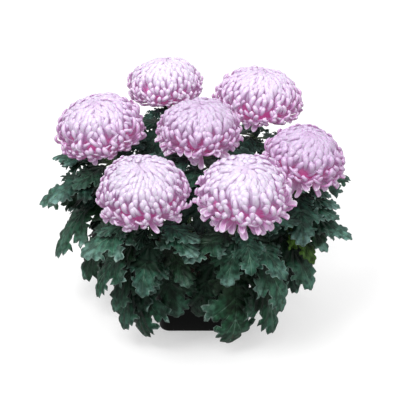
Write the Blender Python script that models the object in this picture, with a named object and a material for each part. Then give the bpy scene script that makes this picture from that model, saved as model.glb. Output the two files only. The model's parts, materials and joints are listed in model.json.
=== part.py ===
"""A pot chrysanthemum: seven large incurved blooms on leafy stems, rooted in a black square pot.

Metres, +Z up, the front towards -Y. The origin is the centre of the pot's base, on the ground.
"""

import math
import random

import bmesh
import bpy
from mathutils import Matrix, Quaternion, Vector
from mathutils.bvhtree import BVHTree
from mathutils.geometry import delaunay_2d_cdt

GAP = 0.0003
SHARP_DEGREES = 24
TANGENT_STEP = 0.01
GOLDEN_ANGLE = math.radians(137.508)
UP = Vector((0.0, 0.0, 1.0))

# Colours and roughness
BLACK_PLASTIC = ((0.012, 0.013, 0.012), 0.45)
COMPOST = ((0.045, 0.030, 0.020), 0.95)
LEAF_GREEN = ((0.045, 0.125, 0.075), 0.55)
LILAC_PINK = ((0.72, 0.50, 0.68), 0.60)

# Pot: a tapered rounded square with a plain lip
POT_HEIGHT = 0.112
POT_BASE_HALF = 0.063
POT_NECK_HALF = 0.0715
POT_LIP_HALF = 0.0755
POT_BASE_CORNER = 0.016
POT_TOP_CORNER = 0.027
POT_LIP_HEIGHT = 0.011
POT_LIP_TAPER = 0.001
POT_WALL = 0.0022
POT_FLOOR = 0.0028
POT_FOOT_CHAMFER = 0.003
CORNER_STEPS = 3
DRAIN_RADIUS = 0.005
DRAIN_OFFSET = 0.041
DRAIN_SIDES = 6
CUT_MARGIN = 0.02

# Soil: fills the pot, with one plain hole for each stem
SOIL_TOP = 0.101
SOIL_CROWN = 0.004
SOIL_CREST = 0.45
STEM_DEPTH = 0.025
HOLE_RADIUS = 0.0047
HOLE_SIDES = 6

# Blooms: centre of the widest level, width across, lean of the axis in degrees (towards X, towards Y)
BLOOMS = (
    ((-0.054, 0.146, 0.320), 0.117, (-2.0, 6.0)),
    ((0.090, 0.124, 0.305), 0.133, (3.0, 5.0)),
    ((-0.146, 0.036, 0.300), 0.131, (-9.0, -3.0)),
    ((-0.001, 0.004, 0.315), 0.121, (0.0, -2.0)),
    ((0.147, -0.038, 0.292), 0.117, (7.0, -4.0)),
    ((-0.076, -0.129, 0.292), 0.125, (-3.0, -9.0)),
    ((0.058, -0.136, 0.294), 0.128, (3.0, -9.0)),
)
# Heights of the outer surface above and below the widest level, as shares of the half-width
DOME = 0.80
BELLY = 0.62

# Core that joins the petals: rings by degrees from the axis, and its seat on the stem's cup
CORE_SHARE = 0.70
CORE_TOP_SHARE = 0.56
CORE_POLAR = (20, 64, 108)
CORE_SIDES = 6
SEAT_LEVEL = -0.42
SEAT_RADIUS = 0.015

# Petals closed over the top: (degrees from the axis, share of the outer surface) along each, and widths
APEX_PETALS = 6
APEX_PROFILE = ((60, 0.56), (37, 0.87), (16, 0.99), (2, 0.97))
APEX_WIDTHS = (0.47, 0.26)
RIDGE_DEPTHS = (0.08, 0.07)

# Petals on a spiral down the sides, in shares of the half-width, curled in over the petals above them
PETALS = 32
FIRST_TIP = 5
TIGHTENED = 16
TIGHT_ANGLE = 0.14
LOWEST_TIP = 100
PETAL_WIDTHS = (0.39, 0.34)
PETAL_REACH = (0.88, 0.66)
REACH_SETTLES = 1.2
# Along each petal: how far behind its tip (share of its reach), how far out (share of the outer surface)
PETAL_PROFILE = ((1.0, 0.54), (0.52, 0.80), (0.18, 0.97), (0.0, 0.985))

# Drooping petals under the head: (radius, height) along each, every second one hanging lower
SKIRT_PETALS = 9
SKIRT_PROFILE = ((0.30, -0.28), (0.72, -0.42), (0.88, -0.52), (0.93, -0.66))
SKIRT_WIDTHS = (0.36, 0.34)
SKIRT_DEPTHS = (-0.06, -0.05)
SKIRT_LIFT = 0.90

# Stems: from the soil up and outwards to the cup that carries the bloom
ROOT_SHARE = 0.27
STEM_SIDES = 5
STEM_RINGS = 6
STEM_RADIUS = 0.0034
STEM_TOP_RADIUS = 0.0028
STEM_RISE = 0.070
STEM_NECK = 0.075
CUP_RADIUS = 0.0115
CUP_HEIGHT = 0.010
CUP_BELLY = (0.45, 0.70)

# Leaves: half of the outline as (distance along, distance out) in shares of length, from its stalk to its tip
LEAF_OUTLINE = (
    (0.17, 0.019),
    (0.26, 0.125),
    (0.36, 0.250),
    (0.43, 0.135),
    (0.54, 0.330),
    (0.63, 0.310),
    (0.69, 0.145),
    (0.80, 0.205),
    (0.90, 0.115),
)
MIDRIB = (0.32, 0.66)
LEAF_THICKNESS = 0.0008
LEAF_CLEARANCE = 0.0012
OUTLINE_MERGE = 1e-6
LEAF_SPREAD = 0.35
LEAF_SAG = 1.1
LOWEST_LEAF = 0.007
# Steps a leaf may be turned by, in degrees, and lifted by, in millimetres, to come clear
NUDGE_TURNS = (0, -6, 6, -12, 12, -18, 18)
NUDGE_LIFTS = (0, 8, -8, 16, -16)
MILLIMETRE = 0.001

# Leaves at the front and between the blooms: stem, share up it, tip, width share, arch, roll in degrees
FRONT_LEAVES = (
    (3, 0.88, (-0.230, 0.075, 0.234), 0.72, 0.10, 0),
    (3, 0.76, (-0.247, 0.021, 0.182), 1.00, 0.14, -6),
    (3, 0.60, (-0.223, -0.005, 0.102), 1.15, 0.36, 0),
    (3, 0.50, (-0.179, -0.038, 0.082), 1.25, 0.26, 0),
    (6, 0.86, (-0.166, -0.140, 0.197), 1.30, 0.14, 0),
    (6, 0.74, (-0.153, -0.119, 0.111), 0.90, 0.25, 4),
    (6, 0.70, (-0.081, -0.163, 0.142), 1.00, 0.30, 0),
    (6, 0.50, (-0.132, -0.108, 0.081), 0.85, 0.28, 0),
    (6, 0.44, (-0.117, -0.106, 0.038), 0.80, 0.30, 0),
    (6, 0.52, (-0.086, -0.104, 0.020), 0.85, 0.30, 0),
    (6, 0.62, (-0.034, -0.118, 0.070), 0.85, 0.26, 0),
    (6, 0.90, (0.000, -0.160, 0.232), 0.90, 0.12, 0),
    (7, 0.58, (-0.004, -0.104, 0.061), 0.75, 0.30, 0),
    (4, 0.86, (-0.014, -0.066, 0.262), 1.10, 0.20, 0),
    (4, 0.95, (-0.034, -0.040, 0.273), 1.00, 0.20, 0),
    (2, 0.87, (0.051, 0.050, 0.253), 1.00, 0.14, -30),
    (2, 0.87, (0.098, 0.062, 0.250), 0.90, 0.14, 0),
    (4, 0.90, (0.086, 0.026, 0.262), 0.90, 0.12, 30),
    (4, 0.90, (-0.088, 0.012, 0.270), 1.00, 0.12, 0),
    (1, 0.88, (-0.078, 0.056, 0.238), 1.15, 0.14, 0),
    (1, 0.95, (-0.096, 0.095, 0.300), 0.70, 0.10, 0),
    (7, 0.84, (-0.018, -0.130, 0.186), 0.95, 0.14, 0),
    (7, 0.88, (0.037, -0.172, 0.167), 1.00, 0.28, 0),
    (7, 0.92, (0.070, -0.185, 0.196), 0.90, 0.24, 0),
    (7, 0.84, (0.118, -0.165, 0.174), 0.90, 0.16, 0),
    (7, 0.66, (0.046, -0.117, 0.016), 0.78, 0.24, 0),
    (7, 0.52, (0.110, -0.100, 0.029), 0.95, 0.28, 0),
    (7, 0.74, (0.122, -0.138, 0.097), 0.88, 0.26, 0),
    (5, 0.90, (0.143, -0.140, 0.214), 0.90, 0.12, 0),
    (5, 0.76, (0.217, -0.093, 0.192), 0.76, 0.08, 0),
    (5, 0.72, (0.183, -0.092, 0.170), 0.90, 0.20, 0),
    (5, 0.84, (0.200, -0.072, 0.242), 0.85, 0.06, 0),
    (5, 0.66, (0.166, -0.095, 0.151), 0.75, 0.22, 0),
    (5, 0.52, (0.165, -0.100, 0.108), 1.00, 0.24, 0),
    (5, 0.40, (0.140, -0.086, 0.086), 1.00, 0.26, 0),
    (5, 0.80, (0.198, -0.085, 0.222), 0.85, 0.08, 0),
    (6, 0.80, (-0.071, -0.118, 0.171), 0.80, 0.16, 0),
)

# Leaves up the middle stem, on a spiral: count, lowest and highest share up the stem, reach, fall
MIDDLE_STEM = 4
MIDDLE_LEAVES = (5, 0.56, 0.88, 0.105, 0.034)
PLAIN_ARCH = 0.14

# Leaves between neighbouring blooms: turn from outwards in degrees, share up the stem, reach, fall
SHOULDER_LEAVES = (
    (80, 0.86, 0.088, 0.020),
    (-80, 0.82, 0.088, 0.026),
    (38, 0.56, 0.080, 0.045),
)

# Tiers of leaves round the sides and the back: tip radius, tip height, share up the stem, count, arch
BACK_FROM = math.radians(-12)
BACK_TO = math.radians(196)
TIER_SEED = 7
TIER_STAGGER = 0.25
TIER_SPREAD = 0.01
TIER_UP_SPREAD = 0.03
TIER_WIDTHS = (0.8, 1.0)
NEAREST_AT = 0.75
TIERS = (
    (0.232, 0.225, 0.84, 7, 0.12),
    (0.205, 0.150, 0.68, 7, 0.20),
    (0.160, 0.080, 0.54, 6, 0.26),
    (0.125, 0.030, 0.44, 4, 0.30),
)


def clear_scene():
    for obj in list(bpy.data.objects):
        bpy.data.objects.remove(obj, do_unlink=True)


def material(name, colour, roughness):
    made = bpy.data.materials.new(name)
    made.use_nodes = True
    shader = made.node_tree.nodes["Principled BSDF"]
    shader.inputs["Base Color"].default_value = (*colour, 1.0)
    shader.inputs["Roughness"].default_value = roughness
    made.diffuse_color = (*colour, 1.0)
    return made


def mesh_object(name, bm, collection=None):
    mesh = bpy.data.meshes.new(name)
    bm.to_mesh(mesh)
    bm.free()
    obj = bpy.data.objects.new(name, mesh)
    (collection or bpy.context.scene.collection).objects.link(obj)
    return obj


def finish(obj, look):
    obj.data.materials.clear()
    obj.data.materials.append(look)
    obj.data.shade_smooth()
    obj.data.set_sharp_from_angle(angle=math.radians(SHARP_DEGREES))


def polar_point(radius, angle, height=0.0):
    return Vector((radius * math.cos(angle), radius * math.sin(angle), height))


def bezier(points, t):
    """The point at t on the Bezier curve with these control points."""
    while len(points) > 1:
        points = [a.lerp(b, t) for a, b in zip(points, points[1:])]
    return points[0]


def bezier_tangent(points, t):
    ahead = bezier(points, min(t + TANGENT_STEP, 1.0))
    behind = bezier(points, max(t - TANGENT_STEP, 0.0))
    return (ahead - behind).normalized()


def loft(bm, rings, close_ends=True):
    """Faces between rings of points with equal counts, and flat ends; the rings' vertices come back."""
    rows = [[bm.verts.new(point) for point in ring] for ring in rings]
    count = len(rows[0])
    for lower, upper in zip(rows, rows[1:]):
        for i in range(count):
            j = (i + 1) % count
            bm.faces.new((lower[i], lower[j], upper[j], upper[i]))
    if close_ends:
        bm.faces.new(list(reversed(rows[0])))
        bm.faces.new(rows[-1])
    return rows


def triangulated(bm):
    bmesh.ops.recalc_face_normals(bm, faces=bm.faces)
    bmesh.ops.triangulate(bm, faces=bm.faces)
    return bm


# Joining


def largest_shell(obj):
    """Drops loose scraps and the walls of sealed hollows, which fills them."""
    bm = bmesh.new()
    bm.from_mesh(obj.data)
    unseen = set(bm.verts)
    shells = []
    while unseen:
        shell = {unseen.pop()}
        front = list(shell)
        while front:
            vert = front.pop()
            near = {edge.other_vert(vert) for edge in vert.link_edges}
            new = near & unseen
            unseen.difference_update(new)
            shell.update(new)
            front.extend(new)
        shells.append(shell)
    shells.sort(key=len)
    for shell in shells[:-1]:
        bmesh.ops.delete(bm, geom=list(shell), context="VERTS")
    bmesh.ops.triangulate(bm, faces=bm.faces)
    bm.to_mesh(obj.data)
    bm.free()


def apply_boolean(obj, collection, operation, solver="EXACT"):
    """One Boolean of obj with every object of the collection, applied, and the collection removed."""
    cut = obj.modifiers.new("join", "BOOLEAN")
    cut.operation = operation
    cut.operand_type = "COLLECTION"
    cut.collection = collection
    cut.solver = solver
    graph = bpy.context.evaluated_depsgraph_get()
    joined = bpy.data.meshes.new_from_object(obj.evaluated_get(graph))
    obj.modifiers.remove(cut)
    obj.data = joined
    for part in list(collection.objects):
        bpy.data.objects.remove(part, do_unlink=True)
    bpy.data.collections.remove(collection)
    largest_shell(obj)


def new_collection(name):
    collection = bpy.data.collections.new(name)
    bpy.context.scene.collection.children.link(collection)
    return collection


# Pot and soil


def rounded_square(half, corner, z):
    """Points round a rounded square, anticlockwise from above."""
    points = []
    inner = half - corner
    for quarter in range(4):
        turn = math.radians(90 * quarter)
        centre = Matrix.Rotation(turn, 3, "Z") @ Vector((inner, inner, 0.0))
        for step in range(CORNER_STEPS + 1):
            angle = turn + math.radians(90) * step / CORNER_STEPS
            points.append(Vector((centre.x, centre.y, z)) + polar_point(corner, angle))
    return points


def wall_section(z):
    """Half-width and corner radius of the pot's outer wall at this height, below the lip."""
    share = z / (POT_HEIGHT - POT_LIP_HEIGHT)
    half = POT_BASE_HALF + (POT_NECK_HALF - POT_BASE_HALF) * share
    corner = POT_BASE_CORNER + (POT_TOP_CORNER - POT_BASE_CORNER) * share
    return half, corner


def inner_section(z, inset):
    half, corner = wall_section(z)
    return rounded_square(half - inset, corner - inset, z)


def prism(radius, sides, bottom, top):
    """Two rings of points of an upright prism."""
    ring = [2 * math.pi * i / sides for i in range(sides)]
    return [[end + polar_point(radius, angle) for angle in ring] for end in (bottom, top)]


def make_pot(look):
    neck = POT_HEIGHT - POT_LIP_HEIGHT
    neck_half, neck_corner = wall_section(neck)
    lip_corner = neck_corner + POT_LIP_HALF - neck_half
    foot_half, foot_corner = wall_section(0.0)
    bm = bmesh.new()
    loft(
        bm,
        [
            rounded_square(foot_half - POT_FOOT_CHAMFER, foot_corner - POT_FOOT_CHAMFER, 0.0),
            rounded_square(*wall_section(POT_FOOT_CHAMFER), POT_FOOT_CHAMFER),
            rounded_square(neck_half, neck_corner, neck),
            rounded_square(POT_LIP_HALF - POT_LIP_TAPER, lip_corner - POT_LIP_TAPER, neck),
            rounded_square(POT_LIP_HALF, lip_corner, POT_HEIGHT),
            rounded_square(neck_half - POT_WALL, neck_corner - POT_WALL, POT_HEIGHT),
            inner_section(neck, POT_WALL),
            inner_section(POT_FLOOR, POT_WALL),
        ],
    )
    pot = mesh_object("pot", triangulated(bm))
    drains = new_collection("drains")
    for quarter in range(4):
        turn = Matrix.Rotation(math.radians(90 * quarter), 3, "Z")
        place = turn @ Vector((DRAIN_OFFSET, DRAIN_OFFSET, 0.0))
        bm = bmesh.new()
        loft(bm, prism(DRAIN_RADIUS, DRAIN_SIDES, place - UP * CUT_MARGIN, place + UP * CUT_MARGIN))
        mesh_object("drain", triangulated(bm), drains)
    apply_boolean(pot, drains, "DIFFERENCE")
    finish(pot, look)
    return pot


def make_soil(look, roots):
    inset = POT_WALL + GAP
    edge = inner_section(SOIL_TOP - SOIL_CROWN, inset)
    crest = [Vector((p.x * SOIL_CREST, p.y * SOIL_CREST, SOIL_TOP)) for p in edge]
    bm = bmesh.new()
    loft(bm, [inner_section(POT_FLOOR + GAP, inset), edge, crest])
    soil = mesh_object("soil", triangulated(bm))
    holes = new_collection("holes")
    for root in roots:
        bm = bmesh.new()
        loft(bm, prism(HOLE_RADIUS, HOLE_SIDES, root - UP * (STEM_DEPTH + GAP), root + UP * CUT_MARGIN))
        mesh_object("hole", triangulated(bm), holes)
    apply_boolean(soil, holes, "DIFFERENCE")
    finish(soil, look)
    return soil


# Blooms


def bloom_frame(index):
    """Rotation of the bloom's axis, its centre and its half-width."""
    centre, width, (lean_x, lean_y) = BLOOMS[index]
    axis = Vector((math.tan(math.radians(lean_x)), math.tan(math.radians(lean_y)), 1.0)).normalized()
    return UP.rotation_difference(axis), Vector(centre), width / 2


def envelope(polar, share=1.0):
    """Radius and height of the bloom's outer surface, as shares of its half-width."""
    height = DOME if polar < math.pi / 2 else BELLY
    return Vector((share * math.sin(polar), share * height * math.cos(polar)))


def petal_sections(spine, widths, depths):
    """Three-sided sections at the inner points of a spine of (radius, height), with the ridge outwards."""
    sections = []
    for i, (width, depth) in enumerate(zip(widths, depths), start=1):
        point = spine[i]
        along = (spine[i + 1] - spine[i - 1]).normalized()
        ridge = point + Vector((-along.y, along.x)) * -depth
        side = Vector((0.0, width / 2, 0.0))
        flat = Vector((point.x, 0.0, point.y))
        sections.append([flat - side, Vector((ridge.x, 0.0, ridge.y)), flat + side])
    return sections


def petal_plan():
    """(spine, widths, depths, azimuth) of each petal, in shares of the bloom's half-width."""
    plans = []
    for k in range(APEX_PETALS):
        spine = [envelope(math.radians(polar), share) for polar, share in APEX_PROFILE]
        plans.append((spine, APEX_WIDTHS, RIDGE_DEPTHS, 2 * math.pi * (k + 0.5) / APEX_PETALS))
    lowest = math.cos(math.radians(LOWEST_TIP))
    for k in range(FIRST_TIP, FIRST_TIP + PETALS):
        polar = math.acos(1 - k / (FIRST_TIP + PETALS - 1) * (1 - lowest))
        settled = min(polar / REACH_SETTLES, 1.0)
        reach = PETAL_REACH[0] + (PETAL_REACH[1] - PETAL_REACH[0]) * settled
        polar -= TIGHT_ANGLE * max(1 - k / TIGHTENED, 0.0)
        spine = [envelope(polar + back * reach, share) for back, share in PETAL_PROFILE]
        plans.append((spine, PETAL_WIDTHS, RIDGE_DEPTHS, k * GOLDEN_ANGLE))
    for k in range(SKIRT_PETALS):
        drop = 1.0 if k % 2 else SKIRT_LIFT
        spine = [Vector((radius, height * drop)) for radius, height in SKIRT_PROFILE]
        plans.append((spine, SKIRT_WIDTHS, SKIRT_DEPTHS, 2 * math.pi * (k + 0.5) / SKIRT_PETALS))
    return plans


def make_petal(plan, scale, collection):
    spine, widths, depths, azimuth = plan
    turn = Matrix.Rotation(azimuth, 3, "Z")
    root, end = (turn @ Vector((p.x, 0.0, p.y)) * scale for p in (spine[0], spine[-1]))
    sections = petal_sections(spine, widths, depths)
    bm = bmesh.new()
    rows = loft(bm, [[turn @ p * scale for p in ring] for ring in sections], close_ends=False)
    for row, point in ((rows[0][::-1], root), (rows[-1], end)):
        apex = bm.verts.new(point)
        for a, b in zip(row, row[1:] + row[:1]):
            bm.faces.new((a, b, apex))
    return mesh_object("petal", triangulated(bm), collection)


def make_bloom(index, look):
    turn, centre, half = bloom_frame(index)
    rings = []
    for step, polar in enumerate(CORE_POLAR):
        point = envelope(math.radians(polar), CORE_SHARE if step else CORE_TOP_SHARE) * half
        angles = [2 * math.pi * (i + 0.5 * (step % 2)) / CORE_SIDES for i in range(CORE_SIDES)]
        rings.append([polar_point(point.x, angle, point.y) for angle in angles])
    angles = [2 * math.pi * i / CORE_SIDES for i in range(CORE_SIDES)]
    rings.append([polar_point(SEAT_RADIUS, angle, SEAT_LEVEL * half) for angle in angles])
    bm = bmesh.new()
    loft(bm, rings)
    bloom = mesh_object(f"bloom_{index + 1}", triangulated(bm))
    petals = new_collection("petals")
    for plan in petal_plan():
        make_petal(plan, half, petals)
    apply_boolean(bloom, petals, "UNION", "MANIFOLD")
    bloom.data.transform(Matrix.Translation(centre) @ turn.to_matrix().to_4x4())
    finish(bloom, look)
    return bloom


# Stems and leaves


def stem_curve(index):
    """Control points of a stem, from the top of the soil to its bloom's seat."""
    turn, centre, half = bloom_frame(index)
    axis = turn @ UP
    top = centre + axis * (SEAT_LEVEL * half - GAP)
    foot = Vector((centre.x * ROOT_SHARE, centre.y * ROOT_SHARE, SOIL_TOP))
    return [foot, foot + UP * STEM_RISE, top - axis * STEM_NECK, top]


def stem_rings(index):
    points = stem_curve(index)
    cup = CUP_HEIGHT / (points[-1] - points[0]).length
    stations = [i / (STEM_RINGS - 1) * (1 - cup) for i in range(STEM_RINGS)]
    radii = [STEM_RADIUS + (STEM_TOP_RADIUS - STEM_RADIUS) * t for t in stations]
    angles = [2 * math.pi * i / STEM_SIDES for i in range(STEM_SIDES)]
    foot = points[0] - UP * STEM_DEPTH
    rings = [[foot + polar_point(STEM_RADIUS, angle) for angle in angles]]
    below, share = CUP_BELLY
    stations += [1 - below * cup, 1.0]
    radii += [share * CUP_RADIUS, CUP_RADIUS]
    for t, radius in zip(stations, radii):
        lean = UP.rotation_difference(bezier_tangent(points, t)) if t else Quaternion()
        centre = bezier(points, t)
        rings.append([centre + lean @ polar_point(radius, angle) for angle in angles])
    return rings


def flat_leaf():
    """(station, offset) points of the blade and its triangles, on one plane."""
    right = list(LEAF_OUTLINE)
    left = [(s, -v) for s, v in reversed(LEAF_OUTLINE)]
    border = [(0.0, 0.0)] + right + [(1.0, 0.0)] + left
    points = [Vector(p) for p in border + [(s, 0.0) for s in MIDRIB]]
    edges = [(i, (i + 1) % len(border)) for i in range(len(border))]
    first_rib = len(border)
    edges += [(first_rib + i, first_rib + i + 1) for i in range(len(MIDRIB) - 1)]
    flat, _, triangles, *_ = delaunay_2d_cdt(points, edges, [list(range(len(border)))], 1, OUTLINE_MERGE)
    return [(p.x, p.y) for p in flat], triangles, len(border)


def leaf_points(base, tip, width, arch, roll):
    """A function from (station, offset) to a point on the blade's middle surface and its normal."""
    chord = tip - base
    flat = Vector((chord.x, chord.y, 0.0))
    outward = Vector((base.x + tip.x, base.y + tip.y, 0.0)).normalized()
    heading = (flat / chord.length + outward * LEAF_SPREAD).normalized()
    side = heading.cross(UP)
    bulge = side.cross(chord).normalized()
    control = (base + tip) / 2 + bulge * (arch * chord.length)
    spine = [base, control, tip]

    def place(station, offset):
        along = bezier_tangent(spine, station)
        across = (Quaternion(along, math.radians(roll) * station) @ side).normalized()
        normal = across.cross(along).normalized()
        reach = offset * chord.length * width
        sag = LEAF_SAG * abs(reach * offset) * station
        return bezier(spine, station) + across * reach - normal * sag, normal

    return place


def leaf_mesh(place, thickness):
    """Vertices and triangles of one closed blade."""
    flat, triangles, border = FLAT_LEAF
    middle = [place(s, v) for s, v in flat]
    upper = [point + normal * (thickness / 2) for point, normal in middle]
    lower = [point - normal * (thickness / 2) for point, normal in middle]
    count = len(flat)
    faces = [tuple(reversed(t)) for t in triangles]
    faces += [tuple(i + count for i in t) for t in triangles]
    for i in range(border):
        j = (i + 1) % border
        faces += [(j, i, i + count), (j, i + count, j + count)]
    return upper + lower, faces


def object_tree(obj):
    points = [vert.co.copy() for vert in obj.data.vertices]
    return BVHTree.FromPolygons(points, [tuple(face.vertices) for face in obj.data.polygons])


def nudges():
    """Small turns and lifts of a leaf, the smallest first."""
    steps = [(turn, lift) for turn in NUDGE_TURNS for lift in NUDGE_LIFTS]
    return sorted(steps, key=lambda step: abs(step[0]) + abs(step[1]))


def clear_leaf(plan, obstacles):
    """The mesh of the planned leaf, turned and lifted until it is clear of everything already there.

    Where no place is clear, it may cross leaves of its own stem, which it is fused to. A leaf that finds
    no place is left out.
    """
    stem, up, tip, width, arch, roll = plan
    base = bezier(stem_curve(stem - 1), up)
    for may_cross in (f"stem_{stem}", f"leaf of stem_{stem}"):
        for turn, lift in nudges():
            swing = Matrix.Rotation(math.radians(turn), 3, "Z")
            end = base + swing @ (Vector(tip) - base) + UP * (lift * MILLIMETRE)
            if end.z < LOWEST_LEAF:
                continue
            place = leaf_points(base, end, width, arch, roll)
            thick = BVHTree.FromPolygons(*leaf_mesh(place, LEAF_CLEARANCE * 2))
            if not any(thick.overlap(tree) for name, tree in obstacles if not may_cross.endswith(name)):
                obstacles.append((f"leaf of stem_{stem}", thick))
                return leaf_mesh(place, LEAF_THICKNESS)
    return None


def tier_leaves():
    """Plans of the leaves round the sides and the back, each on the nearest stem."""
    draw = random.Random(TIER_SEED)
    plans = []
    middles = [bezier(stem_curve(i), NEAREST_AT) for i in range(len(BLOOMS))]
    for tier, (radius, height, up, count, arch) in enumerate(TIERS):
        for i in range(count):
            share = (i + 0.5 + TIER_STAGGER * (-1) ** tier) / count
            angle = BACK_FROM + (BACK_TO - BACK_FROM) * share
            tip = polar_point(radius, angle, height + draw.uniform(-TIER_SPREAD, TIER_SPREAD))
            stem = min(range(len(middles)), key=lambda k: (middles[k].xy - tip.xy).length)
            from_up = up + draw.uniform(-TIER_UP_SPREAD, TIER_UP_SPREAD)
            plans.append((stem + 1, from_up, tip, draw.uniform(*TIER_WIDTHS), arch, 0))
    return plans


def middle_leaves():
    count, low, high, reach, fall = MIDDLE_LEAVES
    plans = []
    for i in range(count):
        up = low + (high - low) * i / (count - 1)
        tip = bezier(stem_curve(MIDDLE_STEM - 1), up) + polar_point(reach, i * GOLDEN_ANGLE, -fall)
        plans.append((MIDDLE_STEM, up, tip, 1.0, PLAIN_ARCH, 0))
    return plans


def shoulder_leaves():
    plans = []
    for index, (centre, _, _) in enumerate(BLOOMS):
        if index + 1 == MIDDLE_STEM:
            continue
        outward = math.atan2(centre[1], centre[0])
        for turn, up, reach, fall in SHOULDER_LEAVES:
            angle = outward + math.radians(turn)
            tip = bezier(stem_curve(index), up) + polar_point(reach, angle, -fall)
            plans.append((index + 1, up, tip, 1.0, PLAIN_ARCH, 0))
    return plans


def make_leafy_stems(look, blooms, pot, soil):
    stems = []
    obstacles = [(obj.name, object_tree(obj)) for obj in (*blooms, pot, soil)]
    for index in range(len(BLOOMS)):
        bm = bmesh.new()
        loft(bm, stem_rings(index))
        stem = mesh_object(f"stem_{index + 1}", triangulated(bm))
        obstacles.append((stem.name, object_tree(stem)))
        stems.append(stem)
    leaves = [new_collection(f"leaves {i + 1}") for i in range(len(BLOOMS))]
    for plan in (*FRONT_LEAVES, *tier_leaves(), *middle_leaves(), *shoulder_leaves()):
        made = clear_leaf(plan, obstacles)
        if made:
            mesh = bpy.data.meshes.new("leaf")
            mesh.from_pydata(made[0], [], made[1])
            leaves[plan[0] - 1].objects.link(bpy.data.objects.new("leaf", mesh))
    for stem, collection in zip(stems, leaves):
        apply_boolean(stem, collection, "UNION", "MANIFOLD")
        finish(stem, look)


FLAT_LEAF = flat_leaf()


def main():
    clear_scene()
    pot = make_pot(material("black plastic", *BLACK_PLASTIC))
    roots = [stem_curve(i)[0] for i in range(len(BLOOMS))]
    soil = make_soil(material("soil", *COMPOST), roots)
    petals = material("petals", *LILAC_PINK)
    blooms = [make_bloom(i, petals) for i in range(len(BLOOMS))]
    make_leafy_stems(material("foliage", *LEAF_GREEN), blooms, pot, soil)


main()
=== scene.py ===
"""The looks of a pot chrysanthemum: petals, leaves, stalks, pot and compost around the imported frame."""

import json
import random
from math import atan2, cos, pi, radians, sin, sqrt, tan

import bmesh
import bpy
import numpy as np
from mathutils import Matrix, Quaternion, Vector, noise
from mathutils.bvhtree import BVHTree
from mathutils.geometry import delaunay_2d_cdt

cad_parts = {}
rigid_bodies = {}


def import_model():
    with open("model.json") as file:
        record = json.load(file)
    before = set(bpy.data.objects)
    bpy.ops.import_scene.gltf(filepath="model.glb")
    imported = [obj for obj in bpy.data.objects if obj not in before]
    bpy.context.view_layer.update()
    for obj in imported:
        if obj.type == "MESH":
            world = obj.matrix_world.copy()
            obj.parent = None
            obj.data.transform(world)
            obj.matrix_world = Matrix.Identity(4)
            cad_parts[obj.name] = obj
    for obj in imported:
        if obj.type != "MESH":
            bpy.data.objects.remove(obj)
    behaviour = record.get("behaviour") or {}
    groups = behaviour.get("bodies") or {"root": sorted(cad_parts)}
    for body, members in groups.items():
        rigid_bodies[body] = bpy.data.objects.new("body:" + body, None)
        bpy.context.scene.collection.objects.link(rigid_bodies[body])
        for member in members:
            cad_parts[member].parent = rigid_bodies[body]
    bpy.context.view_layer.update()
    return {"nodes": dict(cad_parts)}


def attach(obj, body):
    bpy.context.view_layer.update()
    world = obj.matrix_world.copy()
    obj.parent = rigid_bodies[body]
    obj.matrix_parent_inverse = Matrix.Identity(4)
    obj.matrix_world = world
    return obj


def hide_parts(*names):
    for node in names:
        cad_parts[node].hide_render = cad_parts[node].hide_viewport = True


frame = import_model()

GOLDEN_ANGLE = radians(137.508)
UP = Vector((0.0, 0.0, 1.0))

# Pot and soil, as in the part's source
GAP = 0.0003
POT_HEIGHT = 0.112
POT_LIP_HEIGHT = 0.011
POT_NECK = POT_HEIGHT - POT_LIP_HEIGHT
POT_HALVES = (0.063, 0.0715)
POT_CORNERS = (0.016, 0.027)
POT_LIP_HALF = 0.0755
POT_WALL = 0.0022
POT_FLOOR = 0.0028
POT_FOOT_CHAMFER = 0.003
DRAIN_RADIUS = 0.005
DRAIN_OFFSET = 0.041
SOIL_TOP = 0.101
SOIL_CROWN = 0.004
STEM_DEPTH = 0.025
# Fine pot and soil
CORNER_STEPS = 9
LIP_ROUNDING = 0.0012
LIP_SIDE = POT_HEIGHT - 0.0018
DRILL_ENDS = (-0.01, 0.02)
DRILL_SIDES = 32
SHARP_FROM = radians(40)
SOIL_STEPS = 40
QUARTER_TURNS = [Matrix.Rotation(radians(90 * quarter), 3, "Z") for quarter in range(4)]

# Blooms, as in the part's source: centre of the widest level, width across, lean of the axis in degrees
BLOOMS = (
    ((-0.054, 0.146, 0.32), 0.117, (-2.0, 6.0)),
    ((0.09, 0.124, 0.305), 0.133, (3.0, 5.0)),
    ((-0.146, 0.036, 0.3), 0.131, (-9.0, -3.0)),
    ((-0.001, 0.004, 0.315), 0.121, (0.0, -2.0)),
    ((0.147, -0.038, 0.292), 0.117, (7.0, -4.0)),
    ((-0.076, -0.129, 0.292), 0.125, (-3.0, -9.0)),
    ((0.058, -0.136, 0.294), 0.128, (3.0, -9.0)),
)
# For each bloom: looseness, share of pink, share of its open petals kept, angle of its lowest curled
# petals from the top, and how light it is, a painted shade over the whole bloom
BLOOM_STYLES = (
    (0.9, 0.3, 0.3, 118, 0.97),
    (1.1, 0.6, 0.5, 112, 0.97),
    (1.5, 0.65, 0.2, 118, 0.91),
    (1.2, 0.8, 0.75, 100, 0.81),
    (1.5, 1.0, 0.9, 94, 0.81),
    (0.9, 0.45, 0.8, 104, 0.84),
    (1.4, 0.45, 1.0, 89, 0.89),
)
DOME = 0.8
BELLY = 0.62
SEAT_LEVEL = -0.42

# Stems, as in the part's source
ROOT_SHARE = 0.27
STEM_SIDES = 5
STEM_RINGS = 6
STEM_RADII = (0.0034, 0.0028)
STEM_RISE = 0.07
STEM_NECK = 0.075
CUP_RADIUS = 0.0115
CUP_HEIGHT = 0.01
CUP_BELLY = (0.45, 0.7)
TANGENT_STEP = 0.01
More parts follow.
